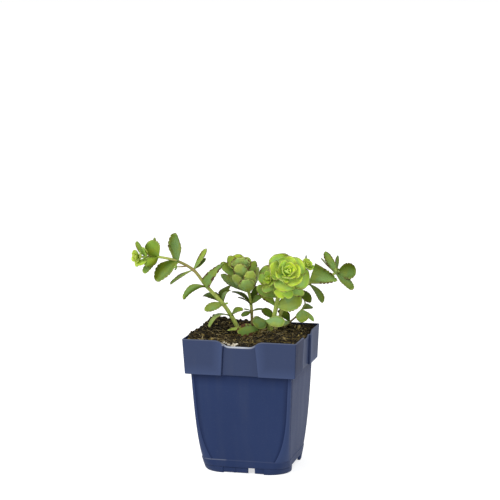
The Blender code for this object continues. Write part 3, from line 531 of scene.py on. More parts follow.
def buildPot():
    # the section is carried round the rounded square and closed over the pad and the floor
    p = potPlan
    hollow, outer, over, inner = potSection()
    grid = np.concatenate([roundRow(p["pad"], 0.0), roundRow(p["pad"] + 0.3, 0.3),
                           roundRow(p["pad"] + 0.3, p["floorUnder"]), potRows(hollow + outer + over + inner)])
    rows, columns = grid.shape[:2]
    points = np.concatenate([grid.reshape(-1, 3), [(0, 0, 0.0), (0, 0, p["floorTop"])]])
    skin = 3 + len(hollow)
    paintedLight = potMarks(grid, skin, skin + len(outer), [row[2] for row in outer])
    surface = points, gridFaces(rows, columns), capFaces(rows, columns), paintedLight
    cutDrains(addPiece("potShell", surface, ["paintedLight"], potFinish(), "pot"))


def cutDrains(pot, around=24):
    # four round drain holes through the raised floor, one on each diagonal
    reach, ringReach = potPlan["drain"]
    low, high = potPlan["floorUnder"] - 1, potPlan["floorTop"] + 1
    turn = np.linspace(0, 2 * pi, around, endpoint=False)
    cutters = bpy.data.collections.new("drains")
    bpy.context.scene.collection.children.link(cutters)
    for bearing in (np.arange(4) + 0.5) * pi / 2:
        middle = ringReach * np.array([cos(bearing), sin(bearing)])
        circle = middle + reach * np.column_stack([np.cos(turn), np.sin(turn)])
        points = np.concatenate([np.column_stack([circle, np.full(around, z)]) for z in (low, high)]
                                + [[(*middle, low)], [(*middle, high)]])
        mesh = bpy.data.meshes.new("drain")
        faces = gridFaces(2, around).tolist() + capFaces(2, around).tolist()
        mesh.from_pydata((leaned(points) * millimetre).tolist(), [], faces)
        faceOutwards(mesh)
        cutters.objects.link(bpy.data.objects.new("drain", mesh))
    cut = pot.modifiers.new("drains", "BOOLEAN")
    cut.operation = "DIFFERENCE"
    cut.solver = "MANIFOLD"
    cut.operand_type = "COLLECTION"
    cut.collection = cutters
    holed = bpy.data.meshes.new_from_object(pot.evaluated_get(bpy.context.evaluated_depsgraph_get()))
    pot.modifiers.clear()
    pot.data = holed
    for cutter in list(cutters.objects):
        bpy.data.objects.remove(cutter, do_unlink=True)
    bpy.data.collections.remove(cutters)


# soil

soilPlan = dict(
    level=103.4, bottom=6.7, gap=0.3, inset=0.35, sag=0.8, relief=0.9, around=330, rings=44,
    heap=(-41.0, 41.0, 2.0, 9.0), bank=(-42.0, 6.8, 8.0), bankStart=(-64.0, -12.0),  # place, rise, spread
    backBank=(43.0, 4.9, 8.0), backFall=(1.3, 25),
    coarse=(3.4, 0.75), fine=(1.4, 0.35),                                            # size, rise of crumbs
    dark=(0.010, 0.008, 0.005), brown=(0.036, 0.027, 0.012), tan=(0.105, 0.078, 0.030))

litterPlan = dict(
    crumbs=3400, crumbSize=(0.4, 1.5), crumbSkew=2.2, crumbSquash=(0.55, 1.1), roughness=0.22,
    chips=120, chipSize=(1.4, 3.2), chipTone=(0.3, 0.85),
    overRim=190, rimLine=44.0, rimEnd=44.8, rimTop=107.9, rimSize=(0.5, 1.25), leftShare=0.78,
    leftRun=(-30.0, 74.5), backRun=24.0,                   # start and length of the crumbs over the rim
    dipReach=17.0, leftEdge=-43.0,                         # those over the left side's dip lie lower
    pale=70, paleX=(-19, -2), paleY=(-41.3, -38.6), paleSize=(0.8, 1.9),
    fibres=820, fibreLength=(3.0, 11.0), fibreRadius=(0.08, 0.19), fibreReach=41.2,
    fibreTones=(0.3, 0.6, 0.74, 0.84), fibreShares=(0.3, 0.3, 0.25, 0.15),
    roots=190, rootHeart=(13.5, -15.0, 0), rootNear=(0.5, 3.0), rootFar=(3.5, 12.0), rootRadius=(0.12, 0.25),
    colours=[(0.0, (0.008, 0.007, 0.004)), (0.4, (0.022, 0.016, 0.008)), (0.62, (0.105, 0.074, 0.025)),
             (0.8, (0.330, 0.250, 0.075)), (1.0, (0.66, 0.62, 0.52))], grain=(0.25, 0.22, 0.2))


def soilHeight(x, y):
    # a level bed with a heap at the back left, banks along the left and the back wall, and low waves: bells
    # for the heap and the banks, products of sines for the waves
    p = soilPlan
    heapX, heapY, heapRise, heapSpread = p["heap"]
    heap = heapRise * np.exp(-((x - heapX) ** 2 + (y - heapY) ** 2) / (2 * heapSpread ** 2))
    bankX, bankRise, bankSpread = p["bank"]
    start, end = p["bankStart"]
    bank = bankRise * np.exp(-((x - bankX) / bankSpread) ** 2) * np.clip((y - start) / (end - start), 0, 1)
    backY, backRise, backSpread = p["backBank"]
    fall, fallEnd = p["backFall"]
    backRise = backRise - fall * np.clip(x / fallEnd, 0, 1)
    bank = np.maximum(bank, backRise * np.exp(-((y - backY) / backSpread) ** 2))
    wave = p["relief"] * (np.sin(x * 0.61 + 1.3 * np.sin(y * 0.31)) * np.sin(y * 0.53 + 0.8)
                          + 0.6 * np.sin(x * 1.13 - y * 0.87))
    return p["level"] + heap + bank + wave * np.clip(np.hypot(x, y) / 20, 0.15, 1)


def crumbledHeight(x, y):
    # the bed with two sizes of crumb added as noise
    flat = np.column_stack([np.ravel(x), np.ravel(y)])
    (coarse, coarseRise), (fine, fineRise) = soilPlan["coarse"], soilPlan["fine"]
    added = coarseRise * softNoise(flat, coarse, 3) + fineRise * softNoise(flat, fine, 5)
    return soilHeight(x, y) + added.reshape(np.shape(x))


def onBed(flat, rise=0.0):
    # points of the plan put on the crumbled bed
    return np.column_stack([flat, crumbledHeight(flat[:, 0], flat[:, 1]) + rise])


def evenRing(ring, count):
    # the same closed line with its points at equal steps
    closed = np.vstack([ring, ring[:1]])
    walked = np.concatenate([[0], np.cumsum(np.linalg.norm(np.diff(closed[:, :2], axis=0), axis=1))])
    steps = np.linspace(0, walked[-1], count, endpoint=False)
    return np.column_stack([np.interp(steps, walked, closed[:, k]) for k in range(3)])


def buildSoil():
    # rings shrinking from the wall to the middle, raised to the crumbled height, over a body that fills
    # the pot
    p = soilPlan
    inset = potPlan["wall"] + p["gap"]
    depth, radius, panel = potPlan["panelDepth"], potPlan["rimRadius"], panelHalfAt(p["level"]) + 0.6
    edge = evenRing(potRows([(potPlan["rimHalf"] - inset - p["inset"], radius, 0, panel, depth, 0, 0)])[0],
                    p["around"])
    shares = 1 - np.linspace(0, 1, p["rings"], endpoint=False) ** 0.95
    tops = edge[None] * shares[:, None, None]
    tops[..., 2] = crumbledHeight(tops[..., 0], tops[..., 1])
    tops[0, :, 2] = soilHeight(tops[0, :, 0], tops[0, :, 1]) - p["sag"]
    walls = [bodyRow(z, inset + p["inset"]) for z in (p["bottom"], 13.0, 28.0, 55.0)]
    walls += [(potPlan["bodyHalf"] - inset, potPlan["topRadius"], 81.4, potPlan["recessHalf"], 0, 0, 0),
              (potPlan["skirtHalf"] - inset, radius, 81.45, 14.9, depth, 0, 0)]
    grid = np.concatenate([[evenRing(ring, p["around"]) for ring in potRows(walls)], tops])
    rows, columns = grid.shape[:2]
    poles = [(0, 0, p["bottom"]), (0, 0, soilHeight(0.0, 0.0))]
    surface = np.concatenate([grid.reshape(-1, 3), poles]), gridFaces(rows, columns), capFaces(rows, columns)
    addPiece("soilBed", surface, [], soilFinish(), "soil")


def spinMatrices(count):
    # random turns, as unit quaternions made into matrices
    q = chance.normal(size=(count, 4))
    w, x, y, z = (q / np.linalg.norm(q, axis=1)[:, None]).T
    return np.stack([1 - 2 * (y * y + z * z), 2 * (x * y - w * z), 2 * (x * z + w * y),
                     2 * (x * y + w * z), 1 - 2 * (x * x + z * z), 2 * (y * z - w * x),
                     2 * (x * z - w * y), 2 * (y * z + w * x), 1 - 2 * (x * x + y * y)], -1).reshape(-1, 3, 3)


def crumbShape():
    # an icosahedron: 12 points, the even turns of (1, golden ratio, 0), and 20 faces
    g = (1 + 5 ** 0.5) / 2
    points = np.array([(-1, g, 0), (1, g, 0), (-1, -g, 0), (1, -g, 0), (0, -1, g), (0, 1, g), (0, -1, -g),
                       (0, 1, -g), (g, 0, -1), (g, 0, 1), (-g, 0, -1), (-g, 0, 1)]) / np.hypot(1, g)
    faces = np.array([(0, 11, 5), (0, 5, 1), (0, 1, 7), (0, 7, 10), (0, 10, 11), (1, 5, 9), (5, 11, 4),
                      (11, 10, 2), (10, 7, 6), (7, 1, 8), (3, 9, 4), (3, 4, 2), (3, 2, 6), (3, 6, 8),
                      (3, 8, 9), (4, 9, 5), (2, 4, 11), (6, 2, 10), (8, 6, 7), (9, 8, 1)])
    return points, faces


def scatterBits(places, sizes, squash, paleness):
    # one crumb at each place: a roughened icosahedron, squashed, turned and half sunk in the bed
    shape, faces = crumbShape()
    count, corners = len(places), len(shape)
    rough = litterPlan["roughness"]
    shape = shape[None] * (1 + chance.uniform(-rough, rough, (count, corners, 1)))
    shape = shape * squash[:, None, :] * sizes[:, None, None]
    points = np.einsum("nij,nkj->nki", spinMatrices(count), shape) + places[:, None, :]
    faces = faces[None] + corners * np.arange(count)[:, None, None]
    return points.reshape(-1, 3), np.empty((0, 4), int), faces.reshape(-1, 3), np.repeat(paleness, corners)


def strands(starts, ends, sags, radii, paleness, sides=4, steps=6):
    # bent threads: a parabola from start to end, its middle moved by sag, as thin tubes that taper to the end
    t = np.linspace(0, 1, steps)[None, :, None]
    lines = starts[:, None] * (1 - t) + ends[:, None] * t + sags[:, None] * 4 * t * (1 - t)
    heading = np.gradient(lines, axis=1)
    heading /= np.linalg.norm(heading, axis=2)[..., None]
    side = np.cross(heading, (0.2, 0.1, 1.0))
    side /= np.linalg.norm(side, axis=2)[..., None]
    other = np.cross(heading, side)
    turn = np.linspace(0, 2 * pi, sides, endpoint=False)[None, None, :, None]
    thin = radii[:, None, None, None] * (1 - 0.6 * t[..., None] ** 2)
    points = lines[:, :, None] + thin * (np.cos(turn) * side[:, :, None] + np.sin(turn) * other[:, :, None])
    size = steps * sides
    first = size * np.arange(len(starts))[:, None, None]
    tubes = (gridFaces(steps, sides)[None] + first).reshape(-1, 4)
    caps = (np.array([[3, 2, 1, 0], np.arange(size - 4, size)])[None] + first).reshape(-1, 4)
    return (points.reshape(-1, 3), np.concatenate([tubes, caps]), np.empty((0, 3), int),
            np.repeat(paleness, size))


def bedPlaces(count, sink, margin=1.2):
    # random places on the bed, inside the wall, sunk a little
    reach = potPlan["rimHalf"] - potPlan["wall"] - potPlan["panelDepth"] - margin
    return onBed(chance.uniform(-reach, reach, (count, 2)), -sink)


def toWorld(points):
    # (across, toward, height) turned into the pot's X, Y and Z
    across = (cos(plantTurn), sin(plantTurn), 0)
    toward = (sin(plantTurn), -cos(plantTurn), 0)
    return np.asarray(points, float) @ np.array([across, toward, (0, 0, 1)])


def scatterCrumbs():
    # crumbs all over, bark chips, crumbs over the rim at the back left, a pale patch behind the front dip
    p = litterPlan
    count = p["crumbs"]
    smallest, largest = p["crumbSize"]
    sizes = chance.uniform(0, 1, count) ** p["crumbSkew"] * (largest - smallest) + smallest
    places = bedPlaces(count, 0.0)
    squash = chance.uniform(*p["crumbSquash"], (count, 3))
    yield scatterBits(places, sizes, squash, chance.beta(1.1, 3.2, count))
    count = p["chips"]
    places = bedPlaces(count, -0.3)
    squash = np.column_stack([chance.uniform(low, high, count) for low, high in (
        (0.8, 1.2), (0.3, 0.6), (0.14, 0.3))])
    tone = chance.uniform(*p["chipTone"], count)
    yield scatterBits(places, chance.uniform(*p["chipSize"], count), squash, tone)
    count = p["overRim"]
    along = chance.uniform(0, 1, count)
    start, run = p["leftRun"]
    left = np.column_stack([np.full(count, -p["rimLine"]), start + run * along])
    back = np.column_stack([-p["rimLine"] + p["backRun"] * along, np.full(count, p["rimLine"])])
    onLeft = chance.uniform(0, 1, (count, 1)) < p["leftShare"]
    flat = np.where(onLeft, left, back) + chance.normal(0, 0.5, (count, 2))
    flat = np.clip(flat, -p["rimEnd"], p["rimEnd"])
    rise = p["rimTop"] + chance.uniform(-0.3, 0.9, count)
    overDip = (np.abs(flat[:, 1]) < p["dipReach"]) & (flat[:, 0] < p["leftEdge"])
    lowered = np.where(overDip, rimDip(flat[:, 1]), 0)
    sizes = chance.uniform(*p["rimSize"], count)
    squash = chance.uniform(0.6, 1.1, (count, 3))
    yield scatterBits(np.column_stack([flat, rise - lowered]), sizes, squash, chance.beta(1.1, 3.5, count))
    count = p["pale"]
    places = onBed(np.column_stack([chance.uniform(*p["paleX"], count),
                                    chance.uniform(*p["paleY"], count)]), 0.4)
    squash = np.column_stack([chance.uniform(0.9, 1.4, count), chance.uniform(0.3, 0.6, count),
                              np.full(count, 0.3)])
    sizes = chance.uniform(*p["paleSize"], count)
    yield scatterBits(places, sizes, squash, chance.uniform(0.9, 1.0, count))


def layFibres():
    # fibres lie about on the bed, roots spread from the foot of the rosette's stem
    p = litterPlan
    count = p["fibres"]
    starts = bedPlaces(count, -0.5, 3.0)
    heading = chance.uniform(0, 2 * pi, count)
    length = chance.uniform(*p["fibreLength"], count)
    ends = starts[:, :2] + np.column_stack([np.cos(heading), np.sin(heading)]) * length[:, None]
    ends = onBed(np.clip(ends, -p["fibreReach"], p["fibreReach"]), 0.3)
    sags = np.column_stack([chance.normal(0, 1.0, (count, 2)), chance.uniform(0.2, 1.5, count)])
    radii = chance.uniform(*p["fibreRadius"], count)
    yield strands(starts, ends, sags, radii, chance.choice(p["fibreTones"], count, p=p["fibreShares"]))
    count = p["roots"]
    heading = chance.uniform(0, 2 * pi, count)
    out = np.column_stack([np.cos(heading), np.sin(heading)])
    heart = toWorld(p["rootHeart"])[:2]
    near = heart + out * chance.uniform(*p["rootNear"], (count, 1))
    far = heart + out * chance.uniform(*p["rootFar"], (count, 1)) + chance.normal(0, 1.2, (count, 2))
    starts = onBed(near, chance.uniform(0.4, 3.0, count))
    sags = np.column_stack([chance.normal(0, 0.8, (count, 2)), chance.uniform(0.2, 1.4, count)])
    radii = chance.uniform(*p["rootRadius"], count)
    yield strands(starts, onBed(far, 0.1), sags, radii, chance.uniform(0.6, 0.9, count))


def buildLitter():
    finish = litterFinish()
    addPiece("soilCrumbs", joinSurfaces(list(scatterCrumbs())), ["paleness"], finish, smooth=False)
    addPiece("soilFibres", joinSurfaces(list(layFibres())), ["paleness"], finish)


# leaves and stems

# (youth, bloom, redness, painted shade, extra painted shade on one side of the midrib: right above 0, left
# below)
leafLooks = dict(
    green=(0.42, 0.45, 0.50, 0.28, 0), grey=(0.30, 0.60, 0.60, 0.34, 0), blue=(0.25, 0.85, 0.50, 0.12, 0),
    pale=(0.52, 0.65, 0.85, 0, 0), sheen=(0.85, 0.60, 0.85, 0, 0), middling=(0.45, 0.75, 0.5, 0.04, 0),
    fresh=(0.85, 0.25, 0.35, 0, 0), lime=(1.3, 0, 0.10, 0, 0), heart=(1.95, 0, 0, 0, 0),
    deep=(0.20, 0.35, 0.60, 0.62, 0), dark=(0.16, 0.05, 0.90, 0.88, 0), red=(0.15, 0.10, 1.0, 0.35, 0),
    olive=(0.32, 0.20, 0.85, 0.35, 0), tawny=(0.42, 0.35, 1.15, 0.10, 0), cool=(0.26, 0.80, 0.50, 0.10, 0),
    crest=(0.60, 0.30, 0.85, 0.06, 0), satin=(0.22, 0.45, 0.60, 0.50, 0), under=(0.95, 0.35, 0.20, 0, 0),
    petal=(0.84, 0.90, 0.60, 0, 0), sidePetal=(0.38, 0.40, 0.85, 0.12, 0),
    withered=(0.18, 0.30, 2.6, 0.34, 0.3), folded=(0.30, 0.60, 0.8, 0.20, 0.3),
    mature=(0.20, 0.65, 0.62, 0.48, 0.25), shaded=(0.26, 0.30, 0.45, 0.48, -0.95),
    vivid=(0.48, 0, 0.60, 0.22, 0.75), clasp=(0.22, 0.45, 1.7, 0.36, 0.1),
    arched=(0.32, 0.35, 0.40, 0.22, 0.8), fan=(0.26, 0.50, 0.85, 0.34, 0.6),
    lobe=(0.20, 0.35, 0.70, 0.52, 0.5))

leafPlan = dict(
    rows=52, around=20, rowEase=1.45, thick=1.25, thin=0.5, rise=1.4, tip=2.3, toothStart=0.34,
    toothFade=(0.12, 0.06),                                # how fast teeth grow in, and end before the tip
    groove=(0.10, 0.45),                                   # depth and reach along the midrib
    stemLeaf=dict(waist=0.17, widest=0.57, taper=0.0, teeth=5, toothDepth=0.14, ripple=0.035),
    clasping=dict(waist=0.7, taper=0.85),                  # added for a leaf that clasps its stem
    petal=dict(waist=0.36, widest=0.64, taper=0.0, teeth=4, toothDepth=0.045, ripple=0.075),
    petalArch=-0.13, petalCup=0.24, petalWider=1.05, petalInset=0.4,
    colours=dict(mature=(0.062, 0.112, 0.024), young=(0.440, 0.610, 0.034), bright=(0.150, 0.230, 0.030),
                 # heart: the young lime raised as painted light for the deep rosette hearts
                 heart=(0.84, 0.99, 0.009), bloom=(0.195, 0.275, 0.110), sage=(0.430, 0.610, 0.150),
                 under=(0.335, 0.435, 0.118), rib=(0.150, 0.210, 0.060), margin=(0.520, 0.590, 0.190),
                 red=(0.085, 0.034, 0.018), shadow=(0.31, 0.32, 0.15), cool=(0.84, 0.99, 1.40),
                 warm=(1.08, 0.98, 0.74)))

stemPlan = dict(
    sides=14, step=1.1, swelling=(0.16, 1.3), rootDepth=14.0, endTaper=(0.96, 0.85, 0.55), endRound=0.3,
    lime=(0.330, 0.410, 0.085), tan=(0.190, 0.110, 0.050), fleck=(0.105, 0.120, 0.030))

# A twig: route of its stem, stem radius at both ends, how tan the stem is at each point of its route (one
# value for all of it where that is enough), its leaves and its rosette. A leaf: (node on the route, tip, way
# its upper face looks, width, arch, cup, look) and, where its base is broad, how far it clasps the stem, up
# to 1. A rosette: node on the route, way it faces, number of leaves, (inner, outer) length and spread in
# degrees, width for its length, first turn, depth of the heart, leaves wound up in it, (inner, outer) look.
shoots = dict(
    left=[dict(
        route=[(-9.5, -13, 104), (-16.5, -11, 117.5), (-23.5, -8, 128.5), (-35.6, -4.6, 142.4),
               (-38.6, -3.8, 146.2), (-47, -2, 157), (-59.8, 0, 164.4), (-74.5, 1, 167.8), (-84.2, 2, 167.9),
               (-90.5, 2.4, 168.3)],
        radius=(2, 0.85), tan=(0.05, 0, 0.08, 0.15, 0.3, 0.75, 0.55, 0.05, 0, 0),
        leaves=[
            (1, (-34.6, 0, 110.8), (-0.35, 0.25, 0.9), 7, 6, 0.15, "blue"),
            (1, (-7.2, -7, 123.6), (-0.55, 0.4, 0.7), 7, 3, 0.15, "olive"),
            (2, (-38, 0, 124.4), (0.05, 0.75, 0.65), 8.6, 1.5, 0.1, "grey", 0.2),
            (2, (-17.2, -12, 139), (-0.7, 0.35, 0.6), 6, 3, 0.15, "grey"),
            (2, (-20, 0, 129.6), (0, 0.5, 0.9), 4, 0.5, 0.1, "green"),
            (2, (-39.4, -20, 133.2), (0.1, 0.5, 0.85), 9.6, 3.8, 0.1, "dark"),
            (2, (-17.8, -23, 141), (-0.65, 0.6, 0.45), 11, 3.5, 0.1, "dark"),
            (3, (-55, 2, 134), (0, 0.4, 0.9), 8.6, 5.5, 0.2, "arched"),
            (5, (-36.4, -6, 173.6), (-0.7, 0.55, 0.4), 7.2, -1, 0.3, "tawny"),
            (5, (-37, -4, 166), (-0.45, 0.6, 0.66), 4.6, -0.6, 0.1, "deep"),
            (5, (-65.2, 4, 146.4), (-0.45, 0.35, 0.82), 6.4, 0.8, 0.25, "tawny"),
            (6, (-60.6, 2, 187.2), (-0.65, 0.72, 0.1), 16.2, -1.2, 0.42, "mature", 0.3),
            (6, (-76, 8, 149.4), (-0.5, 0.8, 0.3), 15.5, 3.2, 0.12, "shaded", 0.25),
            (7, (-82.6, 6, 180.4), (0.15, 0.92, 0.3), 13, 0.8, 0.1, "vivid"),
            (7, (-77.8, -5, 182.6), (-0.88, 0.42, 0.2), 6.4, 0.5, 0.1, "red"),
            (7, (-85.8, 3, 154.7), (-0.5, 0.65, 0.45), 8, 0.8, 0.15, "green"),
            (7, (-84.4, 8, 161.4), (-0.2, 0.8, 0.5), 9.6, 0.8, 0.15, "vivid"),
            (8, (-92.4, -3, 179.4), (-0.75, 0.2, 0.6), 5.4, 0.5, 0.15, "olive"),
            (8, (-85.8, 9, 176.6), (-0.6, 0.78, 0.1), 6.6, -1.2, 0.2, "fresh"),
            (8, (-90.2, 9, 162.2), (-0.6, 0.78, 0.1), 7.8, -1.2, 0.2, "fresh")],
        rosette=dict(at=9, axis=(-0.9, 0.42, 0.06), count=12, length=(3.4, 9.6), spread=(14, 78), ratio=0.76,
                     turn=40, depth=2.8, heart=4, looks=("lime", "fresh"))
    ), dict(
        route=[(-38.4, -3.8, 145.8), (-38.3, -2.4, 145.4), (-38.1, -1, 144.9)],
        radius=(1, 0.9), tan=(0.1,),
        leaves=[
            (2, (-21.8, 0.5, 163.2), (-0.42, 0.85, 0.3), 12.2, 3.2, -0.04, "clasp", 1)]
    ), dict(
        route=[(-51.5, -1.2, 160.2), (-55.5, 3.5, 160.4), (-60, 6, 160.6)],
        radius=(0.6, 0.5), tan=(0.9, 0.9, 0.7),
        rosette=dict(at=2, axis=(-0.7, 0.5, 0.2), count=5, length=(2.4, 3.8), spread=(25, 80), ratio=0.8,
                     turn=20, depth=0.6, heart=0, looks=("fresh", "green"))
    )],
    head=[dict(
        route=[(0.2, -22, 104), (-0.5, -24.5, 119.5), (-1, -26, 124.4), (-2.8, -28, 134.5), (-6, -31, 144),
               (-8.5, -34, 150)],
        radius=(1.3, 1.1), tan=(0.9, 0.6, 0.1, 0.05, 0.05, 0.1),
        leaves=[
            (1, (-6.4, -17.5, 122.2), (0.2, 0.2, 1), 3.5, 0.6, 0.1, "red"),
            (1, (9.2, -25, 121), (0, 0.3, 1), 4, 0.8, 0.1, "red"),
            (1, (-8.6, -20, 116), (0.2, 0.5, 0.85), 5, 0.6, 0.1, "olive"),
            (2, (-17, -33, 134), (0.45, 0.25, 0.85), 7.5, 3, 0.15, "dark"),
            (2, (-11.6, -18.5, 131.8), (0.3, 0.1, 0.95), 5, 1.2, 0.15, "dark"),
            (2, (5.2, -36, 138.4), (-0.5, 0.6, 0.6), 7.5, 0.8, 0.15, "dark"),
            (2, (7.8, -20, 131.6), (-0.3, 0.5, 0.8), 8.5, 1.8, 0.15, "deep"),
            (3, (-5.6, -16, 147.3), (-0.1, -0.75, 0.65), 14.5, -2.5, 0.22, "sheen"),
            (3, (-14.6, -20, 150.6), (0.35, -0.7, 0.6), 10.5, -2.2, 0.2, "green"),
            (3, (-2.6, -18, 154), (-0.3, -0.75, 0.55), 11.5, -2.6, 0.2, "sheen"),
            (4, (-11, -19.5, 159.4), (0, -0.8, 0.6), 12.5, -2.8, 0.2, "pale"),
            (5, (-10, -23, 164), (0, -0.85, 0.5), 16, -2.4, 0.2, "pale"),
            (3, (-24.8, -26, 150.4), (0.25, -0.7, 0.6), 11, -1.4, 0.15, "deep"),
            (4, (-25.8, -32, 158), (0.45, 0.5, 0.7), 12, -1.8, 0.15, "green"),
            (5, (-19.5, -37, 163), (0.45, 0.6, 0.65), 12, -1.8, 0.15, "crest"),
            (3, (5, -30, 155), (-0.6, -0.55, 0.55), 10, -1.6, 0.15, "olive"),
            (4, (2.4, -37, 159.2), (-0.5, 0.5, 0.7), 10.5, -1.8, 0.15, "olive"),
            (5, (-13, -45, 163.4), (0.1, 0.75, 0.65), 12, -1.8, 0.15, "crest"),
            (5, (-4.4, -43, 161.4), (-0.2, 0.75, 0.65), 10.5, -1.8, 0.15, "crest"),
            (4, (-12, -49, 153), (0.1, 0.55, 0.85), 12, -1.5, 0.15, "green")],
        rosette=dict(at=5, axis=(-0.22, -0.35, 0.9), count=6, length=(4, 9.5), spread=(12, 38), ratio=0.8,
                     turn=80, depth=1.5, heart=3, looks=("fresh", "crest"))
    )],
    rosette=[dict(
        route=[(14, -14, 104), (17, -12.5, 115), (19.2, -10.5, 126), (20.8, -8, 134), (24, -3.5, 142),
               (26, 2, 149.5), (27.4, 6, 155.3)],
        radius=(1.9, 1.6), tan=(0,),
        leaves=[
            (1, (8.5, -22, 122), (-0.1, 0.5, 0.85), 7.5, 1, 0.1, "dark"),
            (2, (39.8, 0, 133), (0.05, 0.9, 0.45), 15.8, 1.2, 0.12, "middling"),
            (2, (3.4, -12, 140.8), (0.5, 0.75, 0.4), 9.5, 0.8, 0.12, "olive"),
            (3, (3.2, -2, 142.6), (0.4, 0.85, 0.35), 10, 0.6, 0.12, "green"),
            (4, (41.5, -1, 137.4), (-0.2, 0.8, 0.55), 8.5, 1.2, 0.12, "pale"),
            (4, (30.2, 9.5, 135.8), (0.1, 0.8, 0.6), 9, 1.6, 0.12, "under")],
        rosette=dict(at=6, axis=(0.16, 0.84, 0.52), count=18, length=(5.5, 19.6), spread=(10, 86), ratio=0.96,
                     turn=205, depth=4.5, heart=7, looks=("heart", "petal"))
    ), dict(
        route=[(24, -3.5, 142), (18.4, -3, 145.5), (14.4, -0.5, 149.4)],
        radius=(1.1, 1), tan=(0,),
        leaves=[
            (1, (23.4, 9, 135.4), (0.2, 0.8, 0.55), 9.6, 1.6, 0.1, "under")],
        rosette=dict(at=2, axis=(-0.42, 0.82, 0.39), count=10, length=(4.5, 13.4), spread=(12, 84), ratio=0.9,
                     turn=70, depth=2, heart=4, looks=("lime", "sidePetal"))
    ), dict(
        route=[(14.2, -13.2, 106), (12.5, -9.5, 110.5), (10.8, -6, 115)],
        radius=(1.3, 1), tan=(0.1, 0, 0),
        leaves=[
            (2, (1.6, 1.5, 112.2), (-0.1, 0.9, 0.45), 12.5, 1.4, 0.12, "mature"),
            (2, (25.6, 0.5, 113.6), (0.1, 0.8, 0.6), 10.5, 1.4, 0.12, "cool")]
    )],
    right=[dict(
        route=[(19, -26, 104), (22.5, -28.5, 115), (27.5, -29, 127), (34.5, -27, 136.5), (45.5, -22, 142.5),
               (57, -16, 148.6), (67.5, -12, 152.8)],
        radius=(1.5, 0.95), tan=(0.5, 0.4, 0.3, 0.2, 0.15, 0.1, 0.05),
        leaves=[
            (4, (56.4, -14, 128), (0.7, 0.5, 0.5), 9.8, 2.2, 0.15, "deep"),
            (3, (47.8, -27, 126.8), (0.5, 0.7, 0.5), 9, 1.5, 0.15, "dark"),
            (3, (29, -38, 148), (0.3, 0.5, 0.8), 8.5, 1, 0.1, "dark"),
            (6, (58.8, -15, 170.2), (-0.7, 0.65, 0.3), 9.4, -1, 0.38, "folded", 0.3),
            (6, (55.8, -25, 162.9), (0.5, -0.1, 0.85), 8, -0.6, 0.1, "olive"),
            (6, (69, -21, 166), (0.8, 0.45, 0.3), 5.4, -0.8, 0.1, "red"),
            (6, (83, -8, 155.6), (-0.1, 0.93, 0.35), 13.2, 0.8, 0.12, "lobe"),
            (6, (80.2, -1, 141.2), (0.3, 0.72, 0.62), 9.6, 0.8, 0.12, "satin", 0.2),
            (6, (74, -27, 148), (0.3, 0.4, 0.85), 9, 0.8, 0.1, "dark")],
        rosette=dict(at=6, axis=(0.55, 0.35, 0.75), count=5, length=(2.8, 6), spread=(14, 42), ratio=0.7,
                     turn=10, depth=0.8, heart=0, looks=("fresh", "green"))
    ), dict(
        route=[(51, -19.2, 145.4), (50, -14.5, 149.6), (47.8, -11, 152.6)],
        radius=(0.9, 0.8), tan=(0.1, 0, 0),
        leaves=[
            (2, (68, -6, 147.2), (-0.15, 0.9, 0.4), 20.5, 0.8, 0.08, "fan", 1)]
    ), dict(
        route=[(34.5, -27, 136.5), (40.6, -20.5, 149), (43.8, -17, 158.2)],
        radius=(0.8, 0.7), tan=(0.3, 0.2, 0.2),
        leaves=[
            (2, (43.6, -23.5, 165.8), (0.9, 0.2, 0.3), 4.6, -0.5, 0.1, "red")],
        rosette=dict(at=2, axis=(0.3, 0.7, 0.65), count=9, length=(3, 7), spread=(12, 68), ratio=0.95,
                     turn=30, depth=1, heart=3, looks=("lime", "fresh"))
    )],
    back=[dict(
        route=[(25, -30, 104), (30.5, -30, 109.5), (36, -27, 115), (40.2, -25, 121)],
        radius=(0.9, 0.75), tan=(0.8, 0.8, 0.8, 0.7),
        leaves=[
            (1, (22, -41, 118), (0.3, 0.6, 0.75), 9, 1, 0.1, "dark"),
            (1, (18.6, -15, 109.6), (0, 0.6, 0.8), 9, 1.2, 0.1, "grey"),
            (3, (40.8, -12, 112.6), (-0.1, 0.8, 0.6), 10.5, 1, 0.12, "middling"),
            (3, (49.6, -19, 112), (0.5, 0.5, 0.7), 5.5, 0.8, 0.1, "green"),
            (3, (41.8, -27, 129.4), (-0.9, 0.2, 0.2), 4, -2, 0.1, "olive"),
            (3, (48.5, -34, 122), (0.2, 0.5, 0.85), 7, 1, 0.1, "deep")]
    )],
    front=[dict(
        route=[(4.5, -5, 103.4), (4.8, -4.4, 107), (5, -3.4, 109.6)],
        radius=(1.1, 0.9), tan=(0.8, 0.6, 0.4),
        leaves=[
            (2, (-12.2, 4, 107.4), (0.15, 0.85, 0.5), 12.2, 0.8, 0.1, "withered", 0.2),
            (1, (-20, 1.5, 108.4), (0, 0.4, 0.92), 4.4, 2.4, 0.1, "blue")]
    )])


def smoothRoute(route, step):
    # a Catmull-Rom curve through the route's points, and how far along the route each point lies
    route = np.asarray(route, float)
    ends = np.vstack([2 * route[0] - route[1], route, 2 * route[-1] - route[-2]])
    points = [route[:1]]
    places = [[0.0]]
    for k in range(len(route) - 1):
        a, b, c, d = ends[k:k + 4]
        count = max(2, int(round(np.linalg.norm(c - b) / step)))
        t = (np.arange(1, count + 1) / count)[:, None]
        points.append(0.5 * (2 * b + (c - a) * t + (2 * a - 5 * b + 4 * c - d) * t ** 2
                             + (3 * b - a - 3 * c + d) * t ** 3))
        places.append(k + t[:, 0])
    return np.vstack(points), np.concatenate(places)


